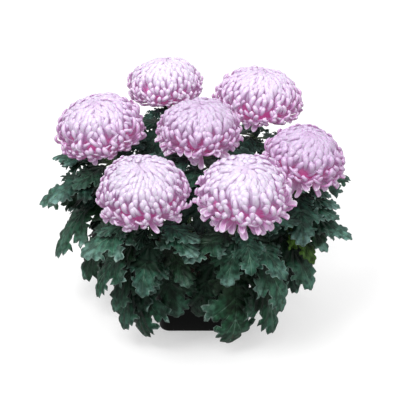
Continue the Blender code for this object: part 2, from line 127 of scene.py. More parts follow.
# Fine stems: rings, sides, ribs and swollen joints, then the cup's outline and its two rings of scales
STALK_RINGS = 41
STALK_SIDES = 15
STALK_DEPTH = 0.012
STEM_RIBS = 5
RIB_HEIGHT = 0.05
JOINT_SWELLS = 0.14
JOINT_REACH = 0.03
CUP_LINE = ((0.0, 0.26), (0.25, 0.52), (0.55, 0.8), (0.8, 0.96), (1.0, 0.98))
CUP_SIDES = 20
BRACTS = ((9, 1.06), (11, 1.3))
BRACT_ROOT = 0.42
BRACT_HALF_WIDTH = 0.0026
BRACT_THICKNESS = 0.0007

# Leaves, as in the part's source
LEAF_OUTLINE = (
    (0.17, 0.019), (0.26, 0.125), (0.36, 0.25), (0.43, 0.135), (0.54, 0.33), (0.63, 0.31),
    (0.69, 0.145), (0.8, 0.205), (0.9, 0.115),
)
MIDRIB = (0.32, 0.66)
LEAF_CLEARANCE = 0.0012
OUTLINE_MERGE = 1e-6
LEAF_SPREAD = 0.35
LEAF_SAG = 1.1
LOWEST_LEAF = 0.007
MILLIMETRE = 0.001
# Small turns and lifts of a leaf, the smallest first
NUDGES = sorted(
    ((turn, lift) for turn in (0, -6, 6, -12, 12, -18, 18) for lift in (0, 8, -8, 16, -16)),
    key=lambda nudge: abs(nudge[0]) + abs(nudge[1]),
)
# Leaves that the photo shows: stem, start as a share of its height, x, y and z of the tip in
# millimetres, width, arch and, where it isn't 0, roll
FRONT_LEAVES = (
    (3, 0.88, -230, 75, 234, 0.72, 0.1),
    (3, 0.76, -247, 21, 182, 1.0, 0.14, -6),
    (3, 0.6, -223, -5, 102, 1.15, 0.36),
    (3, 0.5, -179, -38, 82, 1.25, 0.26),
    (6, 0.86, -166, -140, 197, 1.3, 0.14),
    (6, 0.74, -153, -119, 111, 0.9, 0.25, 4),
    (6, 0.7, -81, -163, 142, 1.0, 0.3),
    (6, 0.5, -132, -108, 81, 0.85, 0.28),
    (6, 0.44, -117, -106, 38, 0.8, 0.3),
    (6, 0.52, -86, -104, 20, 0.85, 0.3),
    (6, 0.62, -34, -118, 70, 0.85, 0.26),
    (6, 0.9, 0, -160, 232, 0.9, 0.12),
    (7, 0.58, -4, -104, 61, 0.75, 0.3),
    (4, 0.86, -14, -66, 262, 1.1, 0.2),
    (4, 0.95, -34, -40, 273, 1.0, 0.2),
    (2, 0.87, 51, 50, 253, 1.0, 0.14, -30),
    (2, 0.87, 98, 62, 250, 0.9, 0.14),
    (4, 0.9, 86, 26, 262, 0.9, 0.12, 30),
    (4, 0.9, -88, 12, 270, 1.0, 0.12),
    (1, 0.88, -78, 56, 238, 1.15, 0.14),
    (1, 0.95, -96, 95, 300, 0.7, 0.1),
    (7, 0.84, -18, -130, 186, 0.95, 0.14),
    (7, 0.88, 37, -172, 167, 1.0, 0.28),
    (7, 0.92, 70, -185, 196, 0.9, 0.24),
    (7, 0.84, 118, -165, 174, 0.9, 0.16),
    (7, 0.66, 46, -117, 16, 0.78, 0.24),
    (7, 0.52, 110, -100, 29, 0.95, 0.28),
    (7, 0.74, 122, -138, 97, 0.88, 0.26),
    (5, 0.9, 143, -140, 214, 0.9, 0.12),
    (5, 0.76, 217, -93, 192, 0.76, 0.08),
    (5, 0.72, 183, -92, 170, 0.9, 0.2),
    (5, 0.84, 200, -72, 242, 0.85, 0.06),
    (5, 0.66, 166, -95, 151, 0.75, 0.22),
    (5, 0.52, 165, -100, 108, 1.0, 0.24),
    (5, 0.4, 140, -86, 86, 1.0, 0.26),
    (5, 0.8, 198, -85, 222, 0.85, 0.08),
    (6, 0.8, -71, -118, 171, 0.8, 0.16),
)
# Young leaves that the solids leave out, in the same terms
YOUNG_LEAVES = (
    (6, 0.86, -86, -150, 214, 0.9, 0.12),
    (6, 0.88, -143, -128, 209, 0.9, 0.1),
    (1, 0.96, -56, 90, 301, 0.8, 0.08),
    (2, 0.95, 88, 95, 257, 0.9, 0.1),
    (6, 0.82, -70, -150, 135, 0.8, 0.2),
    (5, 0.92, 188, -60, 228, 0.9, 0.1),
    (1, 0.84, -108, 66, 238, 1.0, 0.12),
    (4, 0.84, -4, -64, 240, 0.8, 0.12),
    (3, 0.84, -88, 98, 262, 0.9, 0.12),
    (2, 0.86, 62, 50, 244, 0.9, 0.12),
)
# The yellow one, by its place among the leaves that the photo shows
YELLOWED_LEAF = 32
PLAIN_ARCH = 0.14
# Leaves of the middle stem: how many, their lowest and highest start, reach and fall
MIDDLE_STEM = 4
MIDDLE_LEAVES = (5, 0.56, 0.88, 0.105, 0.034)
# Leaves under each outer bloom: turn from straight outwards in degrees, start, reach and fall
SHOULDER_LEAVES = (
    (80, 0.86, 0.088, 0.02),
    (-80, 0.82, 0.088, 0.026),
    (38, 0.56, 0.08, 0.045),
)
BACK_ANGLES = (radians(-12), radians(196))
TIER_SEED = 7
TIER_STAGGER = 0.25
TIER_SPREAD = 0.01
TIER_UP_SPREAD = 0.03
TIER_WIDTHS = (0.8, 1.0)
NEAREST_AT = 0.75
# Tiers of leaves at the sides and the back: radius, height, start up the stem, how many, arch
TIERS = (
    (0.232, 0.225, 0.84, 7, 0.12),
    (0.205, 0.15, 0.68, 7, 0.2),
    (0.16, 0.08, 0.54, 6, 0.26),
    (0.125, 0.03, 0.44, 4, 0.3),
)

# Fine petals: how many curl in over the head, and the rows and columns of points on each face
PETALS = 440
PETAL_ROWS = np.array([0.0, 0.26, 0.46, 0.61, 0.73, 0.83, 0.91, 0.965, 1.0])
PETAL_COLUMNS = np.linspace(-1.0, 1.0, 5)
PETAL_THICKNESS = 0.0005
# Room for each tip on the top and low down, in square millimetres, and the angles between which it grows
TIP_ROOM = (32.0, 92.0)
ROOM_GROWS = (radians(30), radians(75))
LOWEST_TIP = radians(122)
TIP_SAMPLES = 400
BLOOM_SEED = 100
# The line of a petal on the dome and low down: angle past the tip, and share of the head's radius
DOME_LINE = ((0.72, 0.5), (0.38, 0.87), (0.08, 1.055), (-0.06, 0.95))
LOW_LINE = ((0.62, 0.45), (0.36, 0.8), (0.06, 1.13), (-0.09, 0.97))
LOW_FROM = (radians(36), radians(70))
HEAD_REACH = 0.985
# Soft lumps of the head and the dimple on its top
LUMP_HEIGHT = 0.075
LUMPS_PER_RADIUS = 1.9
LUMP_SHIFT = 7.3
DIMPLE_DEPTH = 0.035
DIMPLE_EDGE = radians(30)
# How the tips close over the top, and turn round it
APEX_CLOSES = 0.12
APEX_EDGE = radians(24)
SWIRL = 0.5
SWIRL_EDGE = radians(55)
# How far petals stray from their rule. What comes to the first two low down is their second number, and
# the tip strays in its angle and its reach
ANGLE_STRAY = (2.2, 2.0)
STAND_STRAY = (0.017, 0.012)
BULGE_STRAY = 0.035
TIP_STRAY = (0.03, 0.02)
AZIMUTH_STRAY = 0.07
SWAY = 0.17
# The heart under the petals: rings, sides, angles, its reach and colour on the dome and low down
CORE_RINGS = 13
CORE_SIDES = 28
CORE_FROM = 4
CORE_SPAN = 150
CORE_SHARES = (0.93, 0.7)
CORE_ALONG = (0.5, 0.16)
# Flat widths of a petal on the dome and low down, and how far it is rolled to each side at its tip
PETAL_WIDTHS = (0.0106, 0.013)
WIDTH_GROWS = (radians(10), radians(90))
CHANNEL = (radians(48), radians(84))
CAP_FROM = 0.84
CAP_DEPTH = 0.95
# Rows of petals that open out below the curled ones: how many, and the angle and reach of their tips
OPEN_ROWS = (
    (26, 101, 1.06),
    (26, 117, 1.04),
    (20, 130, 0.96),
)
OPEN_ROOT = (0.28, -0.22)
OPEN_LOW = 0.62
OPEN_CHANNEL = (70, 110)
OPEN_SWAY = 0.14
DROOP_STRAY = 0.03
LONG_PETALS = 0.12
# Long loose petals that the photo shows, by bloom: azimuth, angle from the top, reach
STRAY_PETALS = {
    2: ((-93, 128, 1.14), (-104, 125, 1.08)),
    4: ((-87, 130, 1.26), (-100, 127, 1.12), (-142, 120, 1.14), (-172, 107, 1.08), (-42, 121, 1.12)),
    5: ((-109, 130, 1.24), (-93, 131, 1.26), (-66, 130, 1.2), (-128, 124, 1.14), (-48, 124, 1.1)),
    7: ((-150, 112, 1.07), (-133, 122, 1.05)),
}

# Colours of a petal's back, on the dome and low down; a pair goes from a plain head to a pink one. The
# root's colour gives way to each of the next three between two shares of the petal's length
# The low colours are deeper: partly the flower's own pink, partly painted shade under the head.
PETAL_ROOT = ((0.76, 0.56, 0.77), ((0.78, 0.22, 0.54), (0.74, 0.07, 0.36)))
PETAL_BACK = (
    (0.14, 0.3, (0.76, 0.62, 0.8), ((0.82, 0.46, 0.72), (0.74, 0.26, 0.58))),
    (0.26, 0.4, (0.74, 0.64, 0.8), ((0.78, 0.58, 0.78), (0.72, 0.36, 0.66))),
    (0.4, 0.6, ((0.82, 0.76, 0.89), (0.73, 0.55, 0.81)), ((0.8, 0.71, 0.86), (0.76, 0.53, 0.8))),
)
# Darker, pinker sides of a petal, on the dome and low down: painted shade on its rolled sides, partly its
# blush.
PETAL_SHADED_MARGIN = (((0.66, 0.52, 0.73), (0.56, 0.36, 0.61)), ((0.6, 0.29, 0.56), (0.56, 0.13, 0.43)))

# Fine leaves: half of the outline in shares of the length, and the teeth along it
FINE_OUTLINE = (
    (0.165, 0.012), (0.2, 0.05), (0.24, 0.13), (0.285, 0.215), (0.345, 0.255), (0.4, 0.225),
    (0.42, 0.105), (0.45, 0.19), (0.485, 0.29), (0.545, 0.345), (0.625, 0.345), (0.672, 0.275),
    (0.672, 0.11), (0.71, 0.155), (0.76, 0.205), (0.82, 0.205), (0.862, 0.14), (0.905, 0.128),
    (0.95, 0.08), (0.985, 0.03),
)
TOOTH_STEP = 0.027
TOOTH = (-0.036, 0.002, 0.028, 0.004)
BLADE_STEP = 0.036
BLADE_MARGIN = 0.014
BLADE_THICKNESS = 0.0006
LEAF_SEED = 500
PILLOW_HEIGHT = 0.021
TIP_CURL = 0.03
STALK_STATIONS = np.array([0.0, 0.03, 0.08, 0.13, 0.18, 0.24, 0.32, 0.42, 0.54, 0.66, 0.78, 0.9])
STALK_RADIUS = 0.0017
STALK_THINS = 0.0013
STALK_FOOT = 0.0006
# Side veins: from a station on the midrib to a point near the edge
VEINS = (
    ((0.2, 0.0), (0.355, 0.235)),
    ((0.26, 0.0), (0.575, 0.305)),
    ((0.24, 0.0), (0.262, 0.15)),
    ((0.47, 0.0), (0.645, 0.255)),
    ((0.52, 0.0), (0.785, 0.195)),
    ((0.68, 0.0), (0.875, 0.105)),
)
VEIN_WIDTH = 0.009
# Cells that tell how far inside the skirt of leaves a point is: their height and number, and the depth
# at which leaves are darkest in the painted shade that deepens into the skirt
SKIRT_LEVEL = 0.03
SKIRT_CELLS = (12, 24)
SKIRT_LEAST = 0.08
SKIRT_DEPTH = 0.09

# Stage: strengths of the surroundings, the floor's size and glow, the lamps and the camera
WHITE = (1.0, 1.0, 1.0)
BACKDROP_LIGHT = 1.0
HORIZON_LIGHT = 0.32
ZENITH_LIGHT = 1.38
FLOOR_HALF = 40.0
FLOOR_GLOW = 0.45
# Name, place, width and power of each lamp
LAMPS = (
    ("key", (-0.7, -0.8, 2.0), 0.8, 24.0),
    ("fill", (1.3, -1.4, 1.2), 1.2, 8.0),
)
LAMP_TARGET = Vector((0.0, 0.0, 0.2))
CAMERA_TARGET = Vector((0.0, 0.0, 0.2018))
CAMERA_DISTANCE = 1.5
CAMERA_HEIGHT = radians(32)
CAMERA_LENS = 90.0
CAMERA_SENSOR = 36.0


# Shared geometry


def polar_point(radius, angle, height=0.0):
    return Vector((radius * cos(angle), radius * sin(angle), height))


def bezier(points, t):
    """The point at t on the Bezier curve with these control points."""
    while len(points) > 1:
        points = [a.lerp(b, t) for a, b in zip(points, points[1:])]
    return points[0]


def bezier_tangent(points, t):
    ahead = bezier(points, min(t + TANGENT_STEP, 1.0))
    behind = bezier(points, max(t - TANGENT_STEP, 0.0))
    return (ahead - behind).normalized()


def blend(pair, share):
    return pair[0] + (pair[1] - pair[0]) * share


def ring_angle(k, count):
    return 2 * pi * k / count


def unit(rows):
    return rows / np.linalg.norm(rows, axis=1)[:, None]


def smooth(low, high, values):
    """0 below low, 1 above high, and an even turn between them."""
    t = np.clip((values - low) / (high - low), 0.0, 1.0)
    return t * t * (3 - 2 * t)


def in_columns(*values):
    """Rows of these values, one column for each; a single number fills its whole column."""
    return np.stack(np.broadcast_arrays(*values), 1)


def in_scene(name, data):
    thing = bpy.data.objects.new(name, data)
    bpy.context.scene.collection.objects.link(thing)
    return thing


def mesh_piece(name, points, faces, look, node=None):
    """A smooth piece that rides on the part and may stand for a node of it."""
    mesh = bpy.data.meshes.new(name)
    mesh.from_pydata(points, [], faces)
    mesh.materials.append(look)
    mesh.shade_smooth()
    piece = in_scene(name, mesh)
    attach(piece, "root")
    if node:
        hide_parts(node)
    return piece


def point_colours(piece, name, colours):
    """Keeps four numbers for each point, which the materials read."""
    made = piece.data.attributes.new(name, "FLOAT_COLOR", "POINT")
    made.data.foreach_set("color", colours.astype(np.float32).ravel())


def point_map(piece, name, coordinates):
    """A UV map from one pair of numbers for each point."""
    layer = piece.data.uv_layers.new(name=name)
    corners = np.zeros(len(piece.data.loops), np.int32)
    piece.data.loops.foreach_get("vertex_index", corners)
    layer.data.foreach_set("uv", coordinates[corners].astype(np.float32).ravel())


def shell_faces(rows, columns):
    """Faces of a closed thin sheet: a grid, the same grid behind it, and the rim between them."""
    back = rows * columns
    last = back - columns
    faces = []
    for i in range(rows - 1):
        for j in range(columns - 1):
            a, b = i * columns + j, i * columns + j + 1
            c, d = b + columns, a + columns
            faces += [(a, b, c, d), (d + back, c + back, b + back, a + back)]
    border = [*range(columns), *range(2 * columns - 1, back, columns)]
    border += [*range(back - 2, last - 1, -1), *range(last - columns, 0, -columns)]
    faces += [(b, a, a + back, b + back) for a, b in zip(border, border[1:] + border[:1])]
    return faces


def ring_faces(rings, sides):
    """Faces between rings of points that follow each other."""
    faces = []
    for i in range(rings - 1):
        for k in range(sides):
            a, b = i * sides + k, i * sides + (k + 1) % sides
            faces.append((a, b, b + sides, a + sides))
    return faces


def closed_rings(points, sides):
    """The rings' points and faces, with the first and the last ring filled."""
    first = tuple(range(sides - 1, -1, -1))
    last = tuple(range(len(points) - sides, len(points)))
    return points, [*ring_faces(len(points) // sides, sides), first, last]


def tube(centres, radii, sides, ribs=0.0):
    """Rings of points round a line of centres, and the faces between them with closed ends."""
    points = []
    lean = Quaternion()
    last = UP
    for i, (centre, radius) in enumerate(zip(centres, radii)):
        ahead = centres[min(i + 1, len(centres) - 1)] - centres[max(i - 1, 0)]
        lean = last.rotation_difference(ahead) @ lean
        last = ahead
        for k in range(sides):
            angle = ring_angle(k, sides)
            wide = radius * (1 + ribs * cos(STEM_RIBS * angle))
            points.append(centre + lean @ polar_point(wide, angle))
    return closed_rings(points, sides)


def joined(parts):
    """One list of rows and one of faces from several pairs of them."""
    rows, faces = [], []
    for some, linked in parts:
        faces += [tuple(v + len(rows) for v in face) for face in linked]
        rows += [tuple(row) for row in some]
    return rows, faces


# Blooms


def bloom_frame(index):
    """Rotation of the bloom's axis, its centre and its half-width."""
    centre, width, leans = BLOOMS[index]
    axis = Vector((*(tan(radians(lean)) for lean in leans), 1.0)).normalized()
    return UP.rotation_difference(axis), Vector(centre), width / 2


def surface(polar, share):
    """Radius and height of points on a bloom, as shares of its half-width."""
    height = np.where(polar < pi / 2, DOME, BELLY)
    return share * np.sin(polar), share * height * np.cos(polar)


def curve_points(points):
    """The cubic curve with these four control points, at each row of a petal."""
    t = PETAL_ROWS[:, None]
    a, b, c, d = [np.array(p) for p in points]
    return (1 - t) ** 3 * a + 3 * (1 - t) ** 2 * t * b + 3 * (1 - t) * t**2 * c + t**3 * d


def petal_rows(radius, height, azimuth, half_width, channel, half, turned, low, tone):
    """A row for each point of a petal, which is a curved channel swept along a line of (radius, height).

    A turned petal is hollow on the side that shows. A row holds the point, four marks, its place on the
    petal's map and its tone. The marks are its share along the petal and to its side, whether it is on
    the inner face, and how low it is.
    """
    sign = -1.0 if turned else 1.0
    along = unit(in_columns(np.gradient(radius), np.gradient(height)))
    bend = sign * channel[:, None, None] * PETAL_COLUMNS[None, :, None]
    curve = (half_width / channel)[:, None, None]
    radial = in_columns(np.cos(azimuth), np.sin(azimuth), 0.0)
    across = in_columns(-np.sin(azimuth), np.cos(azimuth), 0.0)[:, None, :]
    outward = sign * radial * along[:, 1:]
    outward[:, 2] = -sign * along[:, 0]
    outward = outward[:, None, :]
    middle = radial * radius[:, None]
    middle[:, 2] = height
    depth = curve * (1 - np.cos(bend)) * sign
    face = middle[:, None, :] + across * (curve * np.sin(bend)) - outward * depth
    normal = outward * np.cos(bend) + sign * across * np.sin(bend)
    behind = face - normal * (PETAL_THICKNESS / half)
    share = np.repeat(PETAL_ROWS, len(PETAL_COLUMNS))
    side = np.tile(PETAL_COLUMNS, len(PETAL_ROWS))
    rows = []
    for points, inner in ((face, float(turned)), (behind, 1.0 - float(turned))):
        marks = in_columns(share, np.abs(side), inner, low, side * 0.5 + 0.5, share, tone)
        rows.append(np.hstack([points.reshape(-1, 3), marks]))
    return np.concatenate(rows)


def cap(values):
    """Rounds a petal's end: 1 up to the cap, then down to a narrow tip on an arc."""
    t = np.clip((values - CAP_FROM) / (1 - CAP_FROM), 0.0, 1.0)
    return np.sqrt(1 - CAP_DEPTH * t * t)


def tip_angles(count):
    """Angles of the petals' tips from the top, close together there and wider apart low down."""
    polar = np.linspace(0.0, LOWEST_TIP, TIP_SAMPLES)
    filled = np.cumsum(np.sin(polar) / blend(TIP_ROOM, smooth(*ROOM_GROWS, polar)))
    return np.interp((np.arange(count) + 0.5) / count, filled / filled[-1], polar)


def lumps(azimuth, polar, seed):
    """How far the head stands out or in there, as a share of its radius: soft lumps and a dimple on top."""
    way = polar_point(sin(polar), azimuth, cos(polar))
    dimple = 1 - float(smooth(0.0, DIMPLE_EDGE, polar))
    lump = noise.noise(way * LUMPS_PER_RADIUS + Vector((seed * LUMP_SHIFT, 0.0, 0.0)))
    return LUMP_HEIGHT * lump - DIMPLE_DEPTH * dimple


def curled_petal(k, polar, seed, draw, looseness, half):
    """A petal that rises round the head and curls in over those above it."""
    low = float(smooth(*LOW_FROM, polar))
    loose = looseness * (0.5 + 0.5 * low)
    polar += radians(draw.gauss(0, ANGLE_STRAY[0] + ANGLE_STRAY[1] * low * looseness))
    polar = max(polar, radians(1))
    stand_stray = draw.gauss(0, STAND_STRAY[0] + STAND_STRAY[1] * low)
    stand = HEAD_REACH + lumps(k * GOLDEN_ANGLE, polar, seed) + stand_stray
    line = np.array(DOME_LINE) * (1 - low) + np.array(LOW_LINE) * low
    line[:, 0] = polar + line[:, 0] * draw.uniform(0.92, 1.08)
    line[2, 1] += draw.gauss(0, BULGE_STRAY) * loose
    line[3] += [draw.gauss(0, stray) * loose for stray in TIP_STRAY]
    line[2:, 0] -= APEX_CLOSES * (1 - float(smooth(0.0, APEX_EDGE, polar)))
    line[:, 1] *= stand
    radius, height = surface(*curve_points(line).T)
    swirl = SWIRL * (1 - smooth(0.0, SWIRL_EDGE, polar))
    sway = draw.gauss(0, SWAY) * loose
    azimuth = k * GOLDEN_ANGLE + draw.gauss(0, AZIMUTH_STRAY) + (swirl + sway) * (PETAL_ROWS - 0.7)
    size = blend(PETAL_WIDTHS, float(smooth(*WIDTH_GROWS, polar)))
    size *= draw.uniform(0.88, 1.12) * (0.8 + 0.2 * looseness) / half
    spoon = smooth(0.05 + 0.3 * low, 0.8 + 0.06 * low, PETAL_ROWS)
    half_width = size / 2 * (0.55 + 0.45 * spoon) * cap(PETAL_ROWS)
    roll = blend(CHANNEL, low) * draw.uniform(0.85, 1.1)
    channel = roll * (0.55 + 0.45 * smooth(0.3, 0.9, PETAL_ROWS))
    down = min(polar / pi, 1.0)
    return petal_rows(radius, height, azimuth, half_width, channel, half, False, down, draw.random())


def open_petal(azimuth, angle, share, draw, looseness, half):
    """An outer petal that leans out or droops, and shows its inner face."""
    is_long = draw.random() <= LONG_PETALS * looseness
    share *= draw.uniform(1.04, 1.1) if is_long else draw.uniform(0.95, 1.03)
    tip_radius, tip_height = surface(radians(angle), share)
    tip_height += draw.gauss(0, DROOP_STRAY) * looseness
    line = (
        OPEN_ROOT,
        (0.6 * tip_radius, 0.55 * tip_height - 0.1),
        (0.93 * tip_radius, 0.85 * tip_height + draw.uniform(0.0, 0.06)),
        (tip_radius, tip_height),
    )
    radius, height = curve_points(line).T
    turn = azimuth + draw.gauss(0, OPEN_SWAY) * (PETAL_ROWS - 0.3)
    size = PETAL_WIDTHS[1] * draw.uniform(0.85, 1.2) / half
    half_width = size / 2 * (0.45 + 0.55 * smooth(0.05, 0.8, PETAL_ROWS)) * cap(PETAL_ROWS)
    channel = np.full(len(PETAL_ROWS), radians(draw.uniform(*OPEN_CHANNEL)))
    return petal_rows(radius, height, turn, half_width, channel, half, True, OPEN_LOW, draw.random())


def head_core(seed):
    """Rows and faces of a heart that closes the view between the petals.

    It is nearer their tips on the dome than low down.
    """
    rows = []
    for i in range(CORE_RINGS):
        polar = radians(CORE_FROM + CORE_SPAN * i / (CORE_RINGS - 1))
        low = float(smooth(*LOW_FROM, polar))
        for side in range(CORE_SIDES):
            azimuth = ring_angle(side, CORE_SIDES)
            radius, height = surface(polar, blend(CORE_SHARES, low) + lumps(azimuth, polar, seed))
            marks = (blend(CORE_ALONG, low), 0.0, 0.0, polar / pi)
            rows.append((*polar_point(radius, azimuth, height), *marks, 0.0, 0.0, 0.5))
    faces = [(a, d, c, b) for a, b, c, d in ring_faces(CORE_RINGS, CORE_SIDES)]
    faces.append(tuple(range(CORE_SIDES)))
    faces.append(tuple(range(len(rows) - 1, len(rows) - CORE_SIDES - 1, -1)))
    return rows, faces


def make_bloom(index, look):
    turn, centre, half = bloom_frame(index)
    looseness, blush, opened, lowest, light = BLOOM_STYLES[index]
    draw = random.Random(BLOOM_SEED + index)
    tips = tip_angles(round(PETALS * (1.25 - 0.25 * looseness)))
    tips = tips[tips < radians(lowest)].tolist()
    petals = [curled_petal(k, polar, index, draw, looseness, half) for k, polar in enumerate(tips)]
    for count, angle, share in OPEN_ROWS:
        kept = [k for k in range(count) if angle > lowest and draw.random() < opened]
        for k in kept:
            azimuth = ring_angle(k + angle + draw.uniform(-0.3, 0.3), count)
            petals.append(open_petal(azimuth, angle, share, draw, looseness, half))
    for azimuth, angle, share in STRAY_PETALS.get(index + 1, ()):
        petals.append(open_petal(radians(azimuth), angle, share, draw, 0.0, half))
    petal_faces = shell_faces(len(PETAL_ROWS), len(PETAL_COLUMNS))
    rows, faces = joined([*((petal, petal_faces) for petal in petals), head_core(index)])
    points, marks, places, tones = np.split(np.array(rows), (3, 7, 9), axis=1)
    matrix = np.array(Matrix.Translation(centre) @ turn.to_matrix().to_4x4() @ Matrix.Scale(half, 4))
    points = points @ matrix[:3, :3].T + matrix[:3, 3]
    node = f"bloom_{index + 1}"
    piece = mesh_piece(f"{node}_petals", points.tolist(), faces, look, node)
    point_colours(piece, "petal", marks)
    # The tone keeps each petal's random tone, the bloom's blush, and how light the bloom is, its painted
    # shade.
    point_colours(piece, "tone", in_columns(tones[:, 0], blush, light, 1.0))
    point_map(piece, "petal_map", places)


# Stems and leaves


def stem_curve(index):
    """Control points of a stem, from the top of the soil to its bloom's seat."""
    turn, centre, half = bloom_frame(index)
    axis = turn @ UP
    top = centre + axis * (SEAT_LEVEL * half - GAP)
    foot = Vector((centre.x * ROOT_SHARE, centre.y * ROOT_SHARE, SOIL_TOP))
    return [foot, foot + UP * STEM_RISE, top - axis * STEM_NECK, top]


def on_stem(index, share):
    return bezier(stem_curve(index), share)


def bare_stem_tree(index):
    """The plain stem of the part's source, which leaves keep clear of."""
    curve = stem_curve(index)
    cup = CUP_HEIGHT / (curve[-1] - curve[0]).length
    stations = [i / (STEM_RINGS - 1) * (1 - cup) for i in range(STEM_RINGS)]
    radii = [blend(STEM_RADII, t) for t in stations]
    below, share = CUP_BELLY
    stations += [1 - below * cup, 1.0]
    radii += [share * CUP_RADIUS, CUP_RADIUS]
    rings = [(curve[0] - UP * STEM_DEPTH, Quaternion(), STEM_RADII[0])]
    for t, radius in zip(stations, radii):
        lean = UP.rotation_difference(bezier_tangent(curve, t)) if t else Quaternion()
        rings.append((bezier(curve, t), lean, radius))
    points = []
    for centre, lean, radius in rings:
        sides = [polar_point(radius, ring_angle(k, STEM_SIDES)) for k in range(STEM_SIDES)]
        points += [centre + lean @ side for side in sides]
    return BVHTree.FromPolygons(points, ring_faces(len(rings), STEM_SIDES))


def toothed(outline):
    """The half outline with its lobes rounded and rounded teeth with narrow notches along it."""
    line = [Vector(p) for p in outline]
    for _ in range(2):
        cuts = [a.lerp(b, share) for a, b in zip(line, line[1:]) for share in (0.25, 0.75)]
        line = [line[0], *cuts, line[-1]]
    lengths = np.cumsum([0.0] + [(b - a).length for a, b in zip(line, line[1:])])
    count = round(lengths[-1] / TOOTH_STEP)
    marks = np.linspace(0.0, lengths[-1], count + 1)
    stations, offsets = [np.interp(marks, lengths, [p[axis] for p in line]) for axis in (0, 1)]
    along = unit(in_columns(np.gradient(stations), np.gradient(offsets)))
    size = np.resize(TOOTH, count + 1) * smooth(0.0, 0.12, marks)
    size *= 1 - 0.5 * smooth(0.8, 1.0, stations)
    size *= smooth(0.02, 0.1, offsets)
    return [Vector(p) for p in in_columns(stations - along[:, 1] * size, offsets + along[:, 0] * size)]


def cut_blade(start, outline, inside):
    """A flat blade with this half outline: its (station, offset) points, its triangles, and how many of
    its points are on the border."""
    left = [Vector((p.x, -p.y)) for p in reversed(outline)]
    border = [Vector((start, 0.0)), *outline, Vector((1.0, 0.0)), *left]
    count = len(border)
    ribs = sum(1 for p in inside if p[1] == 0.0)
    edges = [(i, (i + 1) % count) for i in range(count)]
    edges += [(count + i, count + i + 1) for i in range(ribs - 1)]
    points = border + [Vector(p) for p in inside]
    flat, _, triangles, *_ = delaunay_2d_cdt(points, edges, [list(range(count))], 1, OUTLINE_MERGE)
    return np.array([(p.x, p.y) for p in flat]), triangles, count


def blade_grid(half):
    """Points inside the fine blade: the midrib first, then an even spread clear of the border."""
    outline = [Vector((FINE_OUTLINE[0][0], 0.0)), *half, Vector((1.0, 0.0))]
    inside = [(s, 0.0) for s in np.arange(0.2, 0.985, BLADE_STEP)]
    for row in range(1, 11):
        offset = row * BLADE_STEP * sqrt(3) / 2
        start = 0.18 + (row % 2) * BLADE_STEP / 2
        for station in np.arange(start, 1.0, BLADE_STEP):
            point = Vector((station, offset))
            if within(point, outline) and gap_to(point, outline) > BLADE_MARGIN:
                inside += [(station, offset), (station, -offset)]
    return inside


def within(point, outline):
    """Whether the point is between the midrib and the outline, by crossings towards the side."""
    crossings = 0
    for a, b in zip(outline, outline[1:]):
        if (a.x > point.x) != (b.x > point.x):
            level = a.y + (b.y - a.y) * (point.x - a.x) / (b.x - a.x)
            crossings += level > point.y
    return crossings % 2 == 1


def gap_to(point, outline):
    nearest = 1.0
    for a, b in zip(outline, outline[1:]):
        way = b - a
        t = min(max((point - a).dot(way) / way.length_squared, 0.0), 1.0)
        nearest = min(nearest, (point - a - way * t).length)
    return nearest


def blade_surface(plan, flat):
    """Points on the middle surface of a leaf, and the normals there, for (station, offset) pairs."""
    base, tip, width, arch, roll = plan
    chord = tip - base
    plan_chord = Vector((chord.x, chord.y, 0.0))
    outward = Vector((base.x + tip.x, base.y + tip.y, 0.0)).normalized()
    side = (plan_chord / chord.length + outward * LEAF_SPREAD).normalized().cross(UP)
    bulge = side.cross(chord).normalized()
    spine = [np.array(p) for p in (base, (base + tip) / 2 + bulge * (arch * chord.length), tip)]
    station, offset = flat[:, :1], flat[:, 1:]

    def on_spine(t):
        t = np.clip(t, 0.0, 1.0)
        return (1 - t) ** 2 * spine[0] + 2 * t * (1 - t) * spine[1] + t**2 * spine[2]

    along = unit(on_spine(station + TANGENT_STEP) - on_spine(station - TANGENT_STEP))
    angle = radians(roll) * station
    flat_side = np.array(side)[None, :]
    dot = (along * flat_side).sum(1)[:, None]
    rolled = flat_side * np.cos(angle) + np.cross(along, flat_side) * np.sin(angle)
    across = unit(rolled + along * dot * (1 - np.cos(angle)))
    normal = unit(np.cross(across, along))
    reach = offset * chord.length * width
    sag = LEAF_SAG * np.abs(reach * offset) * station
    return on_spine(station) + across * reach - normal * sag, normal


def blade_faces(flat, triangles, border):
    """Faces of both sides of a blade and of the rim between them."""
    count = len(flat)
    faces = [tuple(reversed(t)) for t in triangles]
    faces += [tuple(i + count for i in t) for t in triangles]
    for i in range(border):
        j = (i + 1) % border
        faces += [(j, i, i + count), (j, i + count, j + count)]
    return faces


def test_blade(plan, thickness):
    """The coarse blade of the part's source, which finds a clear place."""
    points, normals = blade_surface(plan, COARSE_BLADE[0])
    shell = np.concatenate([points + normals * thickness / 2, points - normals * thickness / 2])
    return BVHTree.FromPolygons(shell.tolist(), COARSE_FACES)


def clear_plan(plan, obstacles):
    """Base, tip, width, arch and roll of the leaf where the part's source puts it, or None."""
    stem, up, tip, width, arch, roll = plan
    base = on_stem(stem - 1, up)
    for may_cross in (f"stem_{stem}", f"leaf of stem_{stem}"):
        for turn, lift in NUDGES:
            swing = Matrix.Rotation(radians(turn), 3, "Z")
            end = base + swing @ (Vector(tip) - base) + UP * (lift * MILLIMETRE)
            if end.z < LOWEST_LEAF:
                continue
            thick = test_blade((base, end, width, arch, roll), LEAF_CLEARANCE * 2)
            others = [tree for name, tree in obstacles if not may_cross.endswith(name)]
            if not any(thick.overlap(tree) for tree in others):
                obstacles.append((f"leaf of stem_{stem}", thick))
                return base, end, width, arch, roll
    return None


def listed_leaf(stem, up, x, y, z, width, arch, roll=0):
    return stem, up, (x / 1000, y / 1000, z / 1000), width, arch, roll


